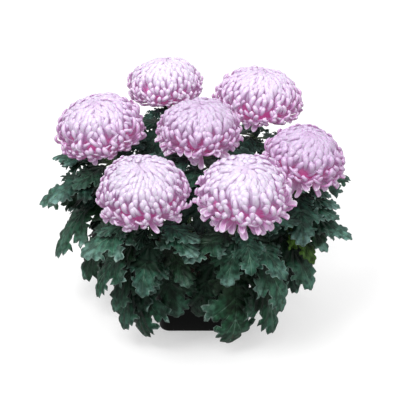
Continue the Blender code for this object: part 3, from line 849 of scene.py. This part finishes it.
def tier_leaves():
    """Plans of the leaves round the sides and the back, each on the nearest stem."""
    draw = random.Random(TIER_SEED)
    plans = []
    middles = [on_stem(i, NEAREST_AT) for i in range(len(BLOOMS))]
    for tier, (radius, height, up, count, arch) in enumerate(TIERS):
        for i in range(count):
            angle = blend(BACK_ANGLES, (i + 0.5 + TIER_STAGGER * (-1) ** tier) / count)
            tip = polar_point(radius, angle, height + draw.uniform(-TIER_SPREAD, TIER_SPREAD))
            stem = min(range(len(middles)), key=lambda k: (middles[k].xy - tip.xy).length)
            from_up = up + draw.uniform(-TIER_UP_SPREAD, TIER_UP_SPREAD)
            plans.append((stem + 1, from_up, tip, draw.uniform(*TIER_WIDTHS), arch, 0))
    return plans


def plain_leaf(stem, up, angle, reach, fall):
    """The plan of a leaf that points this way from its stem."""
    tip = on_stem(stem - 1, up) + polar_point(reach, angle, -fall)
    return stem, up, tip, 1.0, PLAIN_ARCH, 0


def middle_leaves():
    count, low, high, reach, fall = MIDDLE_LEAVES
    ups = [low + (high - low) * i / (count - 1) for i in range(count)]
    return [plain_leaf(MIDDLE_STEM, up, i * GOLDEN_ANGLE, reach, fall) for i, up in enumerate(ups)]


def shoulder_leaves():
    plans = []
    for stem, (centre, _, _) in enumerate(BLOOMS, start=1):
        if stem != MIDDLE_STEM:
            outward = atan2(centre[1], centre[0])
            for turn, up, reach, fall in SHOULDER_LEAVES:
                plans.append(plain_leaf(stem, up, outward + radians(turn), reach, fall))
    return plans


def placed_leaves():
    """For each stem, the plans of its leaves where they are clear, as in the part's source."""
    obstacles = []
    for name in [*(f"bloom_{i + 1}" for i in range(len(BLOOMS))), "pot", "soil"]:
        mesh = frame["nodes"][name].data
        points = [vert.co.copy() for vert in mesh.vertices]
        faces = [tuple(face.vertices) for face in mesh.polygons]
        obstacles.append((name, BVHTree.FromPolygons(points, faces)))
    obstacles += [(f"stem_{i + 1}", bare_stem_tree(i)) for i in range(len(BLOOMS))]
    leaves = [[] for _ in BLOOMS]
    plans = [listed_leaf(*row) for row in FRONT_LEAVES]
    plans += tier_leaves() + middle_leaves() + shoulder_leaves()
    plans += [listed_leaf(*row) for row in YOUNG_LEAVES]
    for number, plan in enumerate(plans):
        clear = clear_plan(plan, obstacles)
        if clear:
            leaves[plan[0] - 1].append((clear, number))
    return leaves


def vein_gap(flat):
    """Distance of each flat point to the nearest vein."""
    points = np.abs(flat * [0, 1]) + flat * [1, 0]
    nearest = points[:, 1].copy()
    for start, end in VEINS:
        a, way = np.array(start), np.array(end) - np.array(start)
        t = np.clip(((points - a) @ way) / (way @ way), 0, 1)
        nearest = np.minimum(nearest, np.linalg.norm(points - a - t[:, None] * way, axis=1))
    return nearest


def fine_leaf(clear, number):
    """A row for each point of a leaf: the point, four marks, and its place on the leaf's map.

    The leaf has cut edges, a waved rim and pillows between its veins. The marks say whether the point is
    on the edge and on the underside, its leaf's tone, and how yellow it is.
    """
    draw = random.Random(LEAF_SEED + number)
    flat, _, border = FINE_BLADE
    station, offset = flat.T
    side = np.sign(offset)
    length = (clear[1] - clear[0]).length
    phase = draw.uniform(0, 2 * pi)
    rim = smooth(0.05, 0.3, np.abs(offset))
    bent = flat.copy()
    bent[:, 1] *= 1 + 0.07 * np.sin(9 * station + phase) * side
    bent[:, 0] += 0.012 * np.sin(5 * offset + 2 * phase) * rim
    points, normals = blade_surface(clear, bent)
    pillow = PILLOW_HEIGHT * length * (smooth(0.0, 0.045, vein_gap(flat)) - 0.6) * (0.4 + rim)
    wave = 0.02 * length * rim * np.sin(30 * station + 3 * side + phase)
    wave += 0.012 * length * rim * np.sin(53 * station + 2 * phase)
    curl = TIP_CURL * length * draw.uniform(-0.6, 1.0) * smooth(0.8, 1.0, station)
    middle = points + normals * (pillow + wave - curl)[:, None]
    edge = (np.arange(len(flat)) < border).astype(float)
    tone = draw.random()
    yellow = 1.0 if number == YELLOWED_LEAF else 0.12 * draw.random()
    sides = []
    for under in (0.0, 1.0):
        sheet = middle + normals * BLADE_THICKNESS / 2 * (1 - 2 * under)
        sides.append(np.hstack([sheet, in_columns(edge, under, tone, yellow), flat + [0.0, 0.5]]))
    return np.concatenate(sides)


def leaf_stalk(clear):
    """The stalk of a leaf, which runs on under the blade as its midrib."""
    centres, normals = blade_surface(clear, in_columns(STALK_STATIONS, 0.0))
    radii = STALK_RADIUS - STALK_THINS * smooth(0.0, 0.9, STALK_STATIONS)
    radii[:2] += STALK_FOOT
    below = radii * 1.1 + 0.0055 * (clear[1] - clear[0]).length
    centres = centres - normals * (smooth(0.14, 0.24, STALK_STATIONS) * below)[:, None]
    return tube([Vector(c) for c in centres], radii.tolist(), 6)


def skirt_cells(points):
    """The cell of height and direction round the plant that each point is in."""
    levels = np.clip(points[:, 2] / SKIRT_LEVEL, 0, SKIRT_CELLS[0] - 1).astype(int)
    turns = (np.arctan2(points[:, 1], points[:, 0]) / (2 * pi) + 0.5) * SKIRT_CELLS[1]
    return levels, np.clip(turns, 0, SKIRT_CELLS[1] - 1).astype(int)


def skirt_reach(leaves):
    """How far out the leaves reach in each cell."""
    coarse = [blade_surface(clear, COARSE_BLADE[0])[0] for stem in leaves for clear, _ in stem]
    points = np.concatenate(coarse)
    reach = np.zeros(SKIRT_CELLS)
    np.maximum.at(reach, skirt_cells(points), np.linalg.norm(points[:, :2], axis=1))
    around = np.stack([np.roll(reach, shift, axis=1) for shift in (-1, 0, 1)])
    return np.maximum(around.max(axis=0), SKIRT_LEAST)


def make_leaves(index, leaves, reach, look):
    rows, faces = joined([(fine_leaf(*leaf), FINE_FACES) for leaf in leaves])
    points, marks, places = np.split(np.array(rows), (3, 7), axis=1)
    node = f"stem_{index + 1}"
    piece = mesh_piece(f"{node}_leaves", points.tolist(), faces, look, node)
    # How deep each point lies in the skirt, which the foliage material turns into painted shade.
    depth = (reach[skirt_cells(points)] - np.linalg.norm(points[:, :2], axis=1)) / SKIRT_DEPTH
    depth = np.clip(depth, 0.0, 1.0)
    point_colours(piece, "leaf", marks)
    point_colours(piece, "inside", in_columns(depth, depth, depth, 1.0))
    point_map(piece, "leaf_map", places)


def bract(k, ring, turn, top):
    """A small pointed scale of the cup under a bloom."""
    count, reach = BRACTS[ring]
    azimuth = ring_angle(k + 0.5 * ring, count)
    points = []
    for t in (0.0, 0.35, 0.7, 1.0):
        radius = CUP_RADIUS * (BRACT_ROOT + (reach - BRACT_ROOT) * t)
        height = -CUP_HEIGHT * (0.95 - 0.95 * t**1.3)
        wide = BRACT_HALF_WIDTH * sin(pi * min(0.25 + 0.75 * t, 0.97))
        for v in (-1, 0, 1):
            lift = 0.0003 * (1 - abs(v)) + 0.0006 * t
            points.append(polar_point(radius + lift, azimuth + v * wide / radius, height))
    points += [p * 0.93 + Vector((0, 0, BRACT_THICKNESS)) for p in points]
    return [top + turn @ p for p in points], shell_faces(4, 3)


def make_stalk(index, leaves, look):
    """One stem with its ribs, joints, leaf stalks and cup of scales."""
    curve = stem_curve(index)
    top = curve[-1]
    turn = bloom_frame(index)[0]
    stations = np.linspace(0.0, 1.0, STALK_RINGS)
    centres = [curve[0] - UP * STALK_DEPTH] + [bezier(curve, t) for t in stations]
    radii = [STEM_RADII[0]] + [blend(STEM_RADII, t) for t in stations]
    joints = [min(stations, key=lambda t: (bezier(curve, t) - clear[0]).length) for clear, _ in leaves]
    for i, t in enumerate(stations, start=1):
        near = min((abs(t - joint) for joint in joints), default=1.0)
        radii[i] *= 1 + JOINT_SWELLS * max(0.0, 1 - near / JOINT_REACH)
    radii[-1] = radii[-2] = STEM_RADII[1]
    cup = [top + turn @ UP * (CUP_HEIGHT * (t - 1)) for t, _ in CUP_LINE]
    parts = [tube(centres, radii, STALK_SIDES, RIB_HEIGHT)]
    parts.append(tube(cup, [CUP_RADIUS * share for _, share in CUP_LINE], CUP_SIDES))
    parts += [bract(k, ring, turn, top) for ring, (count, _) in enumerate(BRACTS) for k in range(count)]
    parts += [leaf_stalk(clear) for clear, _ in leaves]
    points, faces = joined(parts)
    mesh_piece(f"stem_{index + 1}_stalk", points, faces, look)


# Pot and soil


def rounded_square(half, corner, z):
    """Points round a rounded square, anticlockwise from above, with four along each side."""
    inner = half - corner
    quarter = []
    for step in range(CORNER_STEPS + 1):
        angle = radians(90) * step / CORNER_STEPS
        quarter.append(Vector((inner, inner, z)) + polar_point(corner, angle))
    quarter += [Vector((inner - 2 * inner * share, half, z)) for share in (0.2, 0.4, 0.6, 0.8)]
    return [turn @ point for turn in QUARTER_TURNS for point in quarter]


def wall_ring(level, out, height):
    """A ring of points at this height, this far out from the pot's outer wall at a level below the lip."""
    share = level / POT_NECK
    return rounded_square(blend(POT_HALVES, share) + out, blend(POT_CORNERS, share) + out, height)


def loft(rings):
    return closed_rings([tuple(p) for ring in rings for p in ring], len(rings[0]))


def edge_arc(radius, angles):
    """How far a rounded edge is from its two flat sides, at these angles."""
    turns = [radians(angle) for angle in angles]
    return [(radius * (1 - sin(turn)), radius * (1 - cos(turn))) for turn in turns]


def pot_rings():
    """Outside from the foot up, over the rolled lip, and down inside to the floor."""
    lip = POT_LIP_HALF - blend(POT_HALVES, 1.0)
    rings = [(rise, -inset, rise) for inset, rise in edge_arc(POT_FOOT_CHAMFER, (0, 30, 60, 90))]
    rings += [(POT_NECK * share, 0.0, POT_NECK * share) for share in (0.2, 0.4, 0.6, 0.8, 0.94)]
    rings += [(POT_NECK, 0.0, POT_NECK - 0.0012), (POT_NECK, 0.0006, POT_NECK - 0.0003)]
    lip_heights = ((0.8, POT_NECK), (0.92, POT_NECK + 0.0006), (0.95, POT_NECK + 0.004), (1.0, LIP_SIDE))
    rings += [(POT_NECK, lip * share, height) for share, height in lip_heights]
    lip_arc = edge_arc(LIP_ROUNDING, (30, 60, 90))
    rings += [(POT_NECK, lip - inset, POT_HEIGHT - drop) for drop, inset in lip_arc]
    mouth = ((0.001, 0.0), (0.0018, 0.0003), (POT_WALL, 0.001))
    rings += [(POT_NECK, -inset, POT_HEIGHT - drop) for inset, drop in mouth]
    rings += [(level, -POT_WALL, level) for level in (POT_NECK, POT_NECK * 0.5, POT_FLOOR)]
    return [wall_ring(*ring) for ring in rings]


def make_pot(look):
    points, faces = loft(pot_rings())
    piece = mesh_piece("pot_shell", points, faces, look, "pot")
    drills = bpy.data.collections.new("drills")
    bpy.context.scene.collection.children.link(drills)
    for turn in QUARTER_TURNS:
        place = turn @ Vector((DRAIN_OFFSET, DRAIN_OFFSET, 0.0))
        ends = [place + UP * end for end in DRILL_ENDS]
        points, faces = tube(ends, [DRAIN_RADIUS] * 2, DRILL_SIDES)
        mesh = bpy.data.meshes.new("drill")
        mesh.from_pydata([tuple(p) for p in points], [], faces)
        drills.objects.link(bpy.data.objects.new("drill", mesh))
    cut = piece.modifiers.new("drains", "BOOLEAN")
    cut.operation = "DIFFERENCE"
    cut.operand_type = "COLLECTION"
    cut.collection = drills
    cut.solver = "EXACT"
    graph = bpy.context.evaluated_depsgraph_get()
    drilled = bpy.data.meshes.new_from_object(piece.evaluated_get(graph))
    piece.modifiers.remove(cut)
    piece.data = drilled
    for drill in list(drills.objects):
        bpy.data.objects.remove(drill)
    bpy.data.collections.remove(drills)
    drilled.shade_smooth()
    drilled.set_sharp_from_angle(angle=SHARP_FROM)


def make_soil(look):
    """Compost in the pot, its top crumbly and a little crowned."""
    inset = POT_WALL + GAP
    level = SOIL_TOP - SOIL_CROWN
    rings = [wall_ring(POT_FLOOR + GAP, -inset, POT_FLOOR + GAP)]
    edge = wall_ring(level, -inset, level)
    for share in [1.0 - i / SOIL_STEPS for i in range(SOIL_STEPS - 1)]:
        ring = []
        for p in edge:
            point = Vector((p.x * share, p.y * share, level + SOIL_CROWN * (1 - share) ** 0.5))
            crumbs = 0.0022 * noise.noise(point * 260) + 0.0014 * noise.noise(point * 620)
            ring.append(point + UP * crumbs * min(1.0, (1 - share) * 12))
        rings.append(ring)
    points, faces = loft(rings)
    mesh_piece("soil_top", points, faces, look, "soil")


# Materials


class Nodes:
    """Builds the nodes and links of a material or a world with short calls."""

    def __init__(self, owner):
        owner.use_nodes = True
        self.owner = owner
        self.tree = owner.node_tree

    def add(self, kind, inputs=None, **settings):
        node = self.tree.nodes.new(f"ShaderNode{kind}")
        for key, value in settings.items():
            setattr(node, key, value)
        for key, value in (inputs or {}).items():
            self.put(node.inputs[key], value)
        return node

    def put(self, socket, value):
        """Links a socket, or sets its number, vector or colour."""
        if isinstance(value, bpy.types.NodeSocket):
            self.tree.links.new(value, socket)
        else:
            socket.default_value = (*value, 1.0) if socket.type == "RGBA" else value

    def math(self, operation, a, b=0.0):
        return self.add("Math", {0: a, 1: b}, operation=operation).outputs[0]

    def times(self, a, b):
        return self.math("MULTIPLY", a, b)

    def plus(self, a, b):
        return self.math("ADD", a, b)

    def vector(self, operation, a, b, result="Vector"):
        return self.add("VectorMath", {0: a, 1: b}, operation=operation).outputs[result]

    def step(self, value, low, high, to_low=0.0, to_high=1.0):
        inputs = {"Value": value, "From Min": low, "From Max": high, "To Min": to_low, "To Max": to_high}
        return self.add("MapRange", inputs, interpolation_type="SMOOTHSTEP").outputs["Result"]

    def mix(self, factor, a, b):
        return self.add("Mix", {"Factor": factor, 6: a, 7: b}, data_type="RGBA").outputs[2]

    def shade(self, colour, value):
        return self.add("HueSaturation", {"Color": colour, "Value": value}).outputs["Color"]

    def noise(self, vector, scale, detail=3.0):
        return self.add("TexNoise", {"Vector": vector, "Scale": scale, "Detail": detail}).outputs["Fac"]

    def bump(self, height, strength, distance):
        inputs = {"Height": height, "Strength": strength, "Distance": distance}
        return self.add("Bump", inputs).outputs["Normal"]

    def place(self):
        return self.add("TexCoord").outputs["Object"]

    def map(self, name):
        return self.add("UVMap", uv_map=name).outputs["UV"]

    def split(self, vector):
        return self.add("SeparateXYZ", {"Vector": vector}).outputs

    def marks(self, name):
        """The four numbers kept for each point."""
        node = self.add("Attribute", attribute_name=name)
        split = self.add("SeparateColor", {"Color": node.outputs["Color"]})
        return (*split.outputs, node.outputs["Alpha"])

    def finish(self, colour, **constants):
        shader = self.tree.nodes["Principled BSDF"]
        self.put(shader.inputs["Base Color"], colour)
        for key, value in constants.items():
            self.put(shader.inputs[key.replace("_", " ")], value)
        return self.owner


def material_nodes(name):
    return Nodes(bpy.data.materials.new(name))


def petal_material():
    """Pale backs that deepen to magenta towards the root, lilac inner faces with pale rims, painted shade
    and glow.
    """
    nodes = material_nodes("petals")
    along, side, inner, low = nodes.marks("petal")
    tone, blush, light, _ = nodes.marks("tone")
    stretched = nodes.vector("MULTIPLY", nodes.map("petal_map"), (9.0, 1.2, 1.0))
    streaks = nodes.noise(stretched, 3.0, 2.0)
    # Low down the petals' colours are deeper: partly the flower's own pink, partly painted shade under the
    # head.
    lowness = nodes.step(low, 0.14, 0.55)

    def head_colour(top, bottom):
        """From a colour on the dome to one low down; a pair goes from plain to pink with the blush."""
        ends = [nodes.mix(blush, *end) if len(end) == 2 else end for end in (top, bottom)]
        return nodes.mix(lowness, *ends)

    reach = nodes.times(blush, 0.16)
    back = head_colour(*PETAL_ROOT)
    for start, end, top, bottom in PETAL_BACK:
        back = nodes.mix(nodes.step(along, start, nodes.plus(reach, end)), back, head_colour(top, bottom))
    # Painted shade on each petal's rolled sides, partly the pink of its blush. The same colour covers the
    # petals nearest the top.
    shaded_margin = nodes.times(nodes.step(side, 0.2, 0.95), nodes.step(low, 0.1, 0.5, 0.72, 0.88))
    shaded_margin = nodes.math("MAXIMUM", shaded_margin, nodes.step(low, 0.1, 0.02, 0.0, 0.85))
    back = nodes.mix(shaded_margin, back, head_colour(*PETAL_SHADED_MARGIN))
    edge = nodes.math("MAXIMUM", nodes.step(side, 0.6, 1.0), nodes.step(along, 0.9, 1.0))
    heart = nodes.mix(nodes.step(along, 0.4, 0.95), (0.68, 0.26, 0.56), (0.72, 0.54, 0.75))
    heart = nodes.mix(lowness, (0.74, 0.62, 0.78), heart)
    front = nodes.mix(edge, heart, (0.8, 0.74, 0.81))
    # Painted glow: the petals give off a little light of their own, strongest towards the root and on the
    # inner faces, which lifts the shade in the gaps and slits between them.
    painted_root_glow = nodes.mix(lowness, (0.42, 0.3, 0.44), (0.52, 0.1, 0.31))
    painted_tip_glow = nodes.mix(lowness, (0.16, 0.13, 0.17), (0.26, 0.14, 0.24))
    glow = nodes.mix(nodes.step(along, 0.24, 0.52), painted_root_glow, painted_tip_glow)
    glow = nodes.mix(inner, glow, nodes.mix(lowness, (0.8, 0.44, 0.74), (0.34, 0.24, 0.36)))
    drift = nodes.plus(nodes.times(tone, 0.12), 0.895)
    # The bloom's lightness darkens all of its petals as a painted shade.
    value = nodes.times(nodes.times(nodes.step(streaks, 0.3, 0.72, 0.92, 1.04), drift), light)
    return nodes.finish(
        nodes.shade(nodes.mix(inner, back, front), value),
        Roughness=0.3,
        Normal=nodes.bump(streaks, 0.25, 0.0006),
        Specular_IOR_Level=0.6,
        Emission_Color=glow,
        Emission_Strength=0.24,
        Subsurface_Weight=0.25,
        Subsurface_Scale=0.004,
        Subsurface_Radius=(1.0, 0.4, 0.8),
    )


def vein_masks(nodes, station, offset):
    """1 on the midrib and side veins, which get thinner towards the edge, and 1 close to them."""
    point = nodes.add("CombineXYZ", {"X": station, "Y": offset}).outputs["Vector"]
    nearest = offset
    for ends in VEINS:
        start, end = [Vector((*p, 0.0)) for p in ends]
        way = end - start
        beyond = nodes.vector("SUBTRACT", point, start)
        run = nodes.vector("DOT_PRODUCT", beyond, way / way.length_squared, "Value")
        run = nodes.math("MAXIMUM", nodes.math("MINIMUM", run, 1.0), 0.0)
        along = nodes.add("VectorMath", {0: way, "Scale": run}, operation="SCALE").outputs["Vector"]
        gap = nodes.vector("DISTANCE", beyond, along, "Value")
        gap = nodes.plus(gap, nodes.times(run, VEIN_WIDTH * 0.5))
        nearest = nodes.math("MINIMUM", nearest, gap)
    return nodes.step(nearest, VEIN_WIDTH, VEIN_WIDTH * 0.25), nodes.step(nearest, 0.05, 0.0)


def leaf_material():
    """Bluish dark green with paler veins and edges, a greyer underside, and painted light, shade and sheen.
    """
    nodes = material_nodes("foliage")
    edge, under, tone, yellow = nodes.marks("leaf")
    place = nodes.place()
    station, across, _ = nodes.split(nodes.map("leaf_map"))
    offset = nodes.math("ABSOLUTE", nodes.math("SUBTRACT", across, 0.5))
    vein, near_vein = vein_masks(nodes, station, offset)
    clouds = nodes.noise(place, 38.0, 4.0)
    cells = nodes.noise(place, 420.0, 2.0)
    puckers = nodes.noise(place, 115.0)
    height = nodes.split(place)["Z"]
    # Painted light: higher leaves get a lighter, bluer green than low ones, as if lit from above.
    high = nodes.step(height, 0.05, 0.22)
    # base: darker towards the leaf's base, a painted shade where the blade lies deep by its stem. The same
    # colour also darkens random patches.
    base = nodes.mix(tone, (0.004, 0.022, 0.011), (0.007, 0.034, 0.018))
    shaded_low_green = nodes.mix(tone, (0.009, 0.054, 0.027), (0.02, 0.092, 0.048))
    lit_high_green = nodes.mix(tone, (0.016, 0.074, 0.05), (0.03, 0.108, 0.078))
    blue = nodes.mix(tone, (0.074, 0.156, 0.138), (0.134, 0.232, 0.214))
    outer = nodes.math("MAXIMUM", nodes.step(station, 0.62, 0.98), nodes.step(offset, 0.16, 0.32))
    # bloom: patches of blue on the outer parts of the lobes, a painted reflection of the sky that is
    # strongest on high leaves.
    bloom = nodes.times(nodes.step(clouds, 0.36, 0.6, 0.15, 0.95), nodes.step(high, 0.0, 1.0, 0.45, 1.0))
    # Pale edges in patches: partly the leaf's greyish margin, partly a painted highlight where the edges
    # catch the light.
    rim = nodes.times(nodes.step(edge, 0.45, 1.0), nodes.step(clouds, 0.36, 0.58, 0.2, 0.9))
    # Painted shade: leaves deep inside the skirt are darkened where shade falls among them, less so on high
    # leaves.
    shaded = nodes.step(nodes.marks("inside")[0], 0.08, 0.52, 0.0, 0.92)
    shaded = nodes.times(shaded, nodes.step(height, 0.29, 0.21, 0.35, 1.0))
    yellowed = nodes.times(yellow, nodes.step(clouds, 0.3, 0.55, 0.6, 1.0))
    below = nodes.mix(vein, (0.02, 0.052, 0.034), (0.05, 0.09, 0.06))
    colour = base
    for share, laid_on in (
        (nodes.step(station, 0.16, 0.42), nodes.mix(high, shaded_low_green, lit_high_green)),
        (nodes.times(outer, bloom), blue),
        (nodes.step(clouds, 0.52, 0.36, 0.0, 0.55), base),
        (nodes.times(near_vein, 0.3), (0.034, 0.1, 0.062)),
        (nodes.times(vein, 0.75), (0.125, 0.225, 0.172)),
        (rim, (0.2, 0.28, 0.255)),
        (shaded, (0.003, 0.014, 0.008)),
        (yellowed, (0.05, 0.11, 0.016)),
        (under, below),
    ):
        colour = nodes.mix(share, colour, laid_on)
    mottled = nodes.step(puckers, 0.36, 0.64, 0.55, 1.5)
    mottled = nodes.times(nodes.step(cells, 0.3, 0.7, 0.9, 1.08), mottled)
    relief = nodes.plus(nodes.times(cells, 0.3), nodes.times(puckers, 2.0))
    relief = nodes.math("SUBTRACT", relief, nodes.plus(nodes.times(near_vein, 1.2), vein))
    return nodes.finish(
        nodes.shade(colour, mottled),
        Roughness=nodes.step(clouds, 0.3, 0.7, 0.34, 0.5),
        Normal=nodes.bump(relief, 0.8, 0.0014),
        Specular_IOR_Level=0.2,
    )


def stalk_material():
    """Ribbed green, browner and woodier towards the soil."""
    nodes = material_nodes("stalks")
    place = nodes.place()
    height = nodes.split(place)["Z"]
    blotches = nodes.noise(place, 160.0)
    green = nodes.mix(nodes.step(blotches, 0.35, 0.7), (0.07, 0.14, 0.06), (0.13, 0.22, 0.1))
    woody = nodes.mix(nodes.step(blotches, 0.4, 0.6), (0.09, 0.065, 0.035), (0.14, 0.11, 0.06))
    colour = nodes.mix(nodes.step(height, 0.09, 0.14), woody, green)
    return nodes.finish(colour, Roughness=0.55, Normal=nodes.bump(blotches, 0.3, 0.0004))


def pot_material():
    """Black nursery plastic, a little dusty, with the faint grain of its mould."""
    nodes = material_nodes("black_plastic")
    place = nodes.place()
    height = nodes.split(place)["Z"]
    grain = nodes.noise(place, 900.0, 2.0)
    smears = nodes.noise(place, 22.0, 5.0)
    scuffs = nodes.noise(nodes.vector("MULTIPLY", place, (60.0, 60.0, 700.0)), 1.0, 2.0)
    dust = nodes.times(nodes.step(smears, 0.48, 0.74), nodes.step(height, 0.0, 0.11, 0.1, 0.35))
    colour = nodes.mix(dust, (0.0035, 0.004, 0.0036), (0.018, 0.017, 0.015))
    colour = nodes.mix(nodes.step(scuffs, 0.66, 0.74, 0.0, 0.25), colour, (0.016, 0.017, 0.016))
    roughness = nodes.step(smears, 0.3, 0.7, 0.34, 0.56)
    shine = nodes.bump(grain, 0.12, 0.0003)
    return nodes.finish(colour, Roughness=roughness, Normal=shine, Specular_IOR_Level=0.12)


def soil_material():
    """Damp peat compost with paler fibres and grit."""
    nodes = material_nodes("compost")
    place = nodes.place()
    crumbs = nodes.noise(place, 240.0, 5.0)
    grit = nodes.add("TexVoronoi", {"Vector": place, "Scale": 330.0}).outputs["Distance"]
    colour = nodes.mix(nodes.step(crumbs, 0.35, 0.65), (0.012, 0.008, 0.005), (0.06, 0.04, 0.026))
    colour = nodes.mix(nodes.step(grit, 0.16, 0.06, 0.0, 0.5), colour, (0.16, 0.13, 0.1))
    height = nodes.plus(crumbs, nodes.times(grit, 0.5))
    return nodes.finish(colour, Roughness=0.92, Normal=nodes.bump(height, 0.8, 0.002))


# Stage


def make_floor():
    nodes = material_nodes("floor")
    grain = nodes.noise(nodes.place(), 5.0, 2.0)
    colour = nodes.mix(grain, (0.54, 0.54, 0.54), (0.56, 0.56, 0.56))
    look = nodes.finish(
        colour, Roughness=0.9, Specular_IOR_Level=0.1, Emission_Color=WHITE, Emission_Strength=FLOOR_GLOW
    )
    grid = bmesh.new()
    bmesh.ops.create_grid(grid, x_segments=8, y_segments=8, size=FLOOR_HALF)
    mesh = bpy.data.meshes.new("floor")
    grid.to_mesh(mesh)
    grid.free()
    mesh.materials.append(look)
    floor = in_scene("floor", mesh)
    floor.location.z = -GAP
    floor.visible_diffuse = False
    floor.visible_glossy = False


def aimed(data, place, way):
    """A lamp or camera at this place that looks this way."""
    holder = in_scene(data.name, data)
    holder.location = place
    holder.rotation_euler = way.to_track_quat("-Z", "Y").to_euler()
    return holder


def make_lamps():
    for name, place, size, power in LAMPS:
        light = bpy.data.lights.new(name, "AREA")
        light.shape = "DISK"
        light.size = size
        light.energy = power
        aimed(light, place, LAMP_TARGET - Vector(place))


def make_surroundings():
    """Light that fades from the zenith to the horizon, with an even white backdrop for the camera."""
    nodes = Nodes(bpy.data.worlds.new("studio"))
    up = nodes.split(nodes.add("TexCoord").outputs["Generated"])["Z"]
    light = {"Value": up, "To Min": HORIZON_LIGHT, "To Max": ZENITH_LIGHT}
    fade = nodes.add("MapRange", light).outputs["Result"]
    seen = nodes.add("LightPath").outputs["Is Camera Ray"]
    strength = nodes.add("Mix", {"Factor": seen, "A": fade, "B": BACKDROP_LIGHT}).outputs["Result"]
    background = nodes.tree.nodes["Background"].inputs
    nodes.put(background["Strength"], strength)
    nodes.put(background["Color"], WHITE)
    bpy.context.scene.world = nodes.owner
    bpy.context.scene.view_settings.view_transform = "Standard"


def make_camera():
    camera = bpy.data.cameras.new("camera")
    camera.lens = CAMERA_LENS
    camera.sensor_width = CAMERA_SENSOR
    back = Vector((0.0, -cos(CAMERA_HEIGHT), sin(CAMERA_HEIGHT)))
    bpy.context.scene.camera = aimed(camera, CAMERA_TARGET + back * CAMERA_DISTANCE, -back)


COARSE_BLADE = cut_blade(0.0, [Vector(p) for p in LEAF_OUTLINE], [(s, 0.0) for s in MIDRIB])
TOOTHED = toothed(FINE_OUTLINE)
FINE_BLADE = cut_blade(FINE_OUTLINE[0][0], TOOTHED, blade_grid(TOOTHED))
COARSE_FACES = blade_faces(*COARSE_BLADE)
FINE_FACES = blade_faces(*FINE_BLADE)


def dress():
    petals = petal_material()
    for index in range(len(BLOOMS)):
        make_bloom(index, petals)
    foliage = leaf_material()
    stalks = stalk_material()
    placed = placed_leaves()
    reach = skirt_reach(placed)
    for index, leaves in enumerate(placed):
        make_leaves(index, leaves, reach, foliage)
        make_stalk(index, leaves, stalks)
    make_pot(pot_material())
    make_soil(soil_material())


dress()
make_floor()
make_surroundings()
make_lamps()
make_camera()
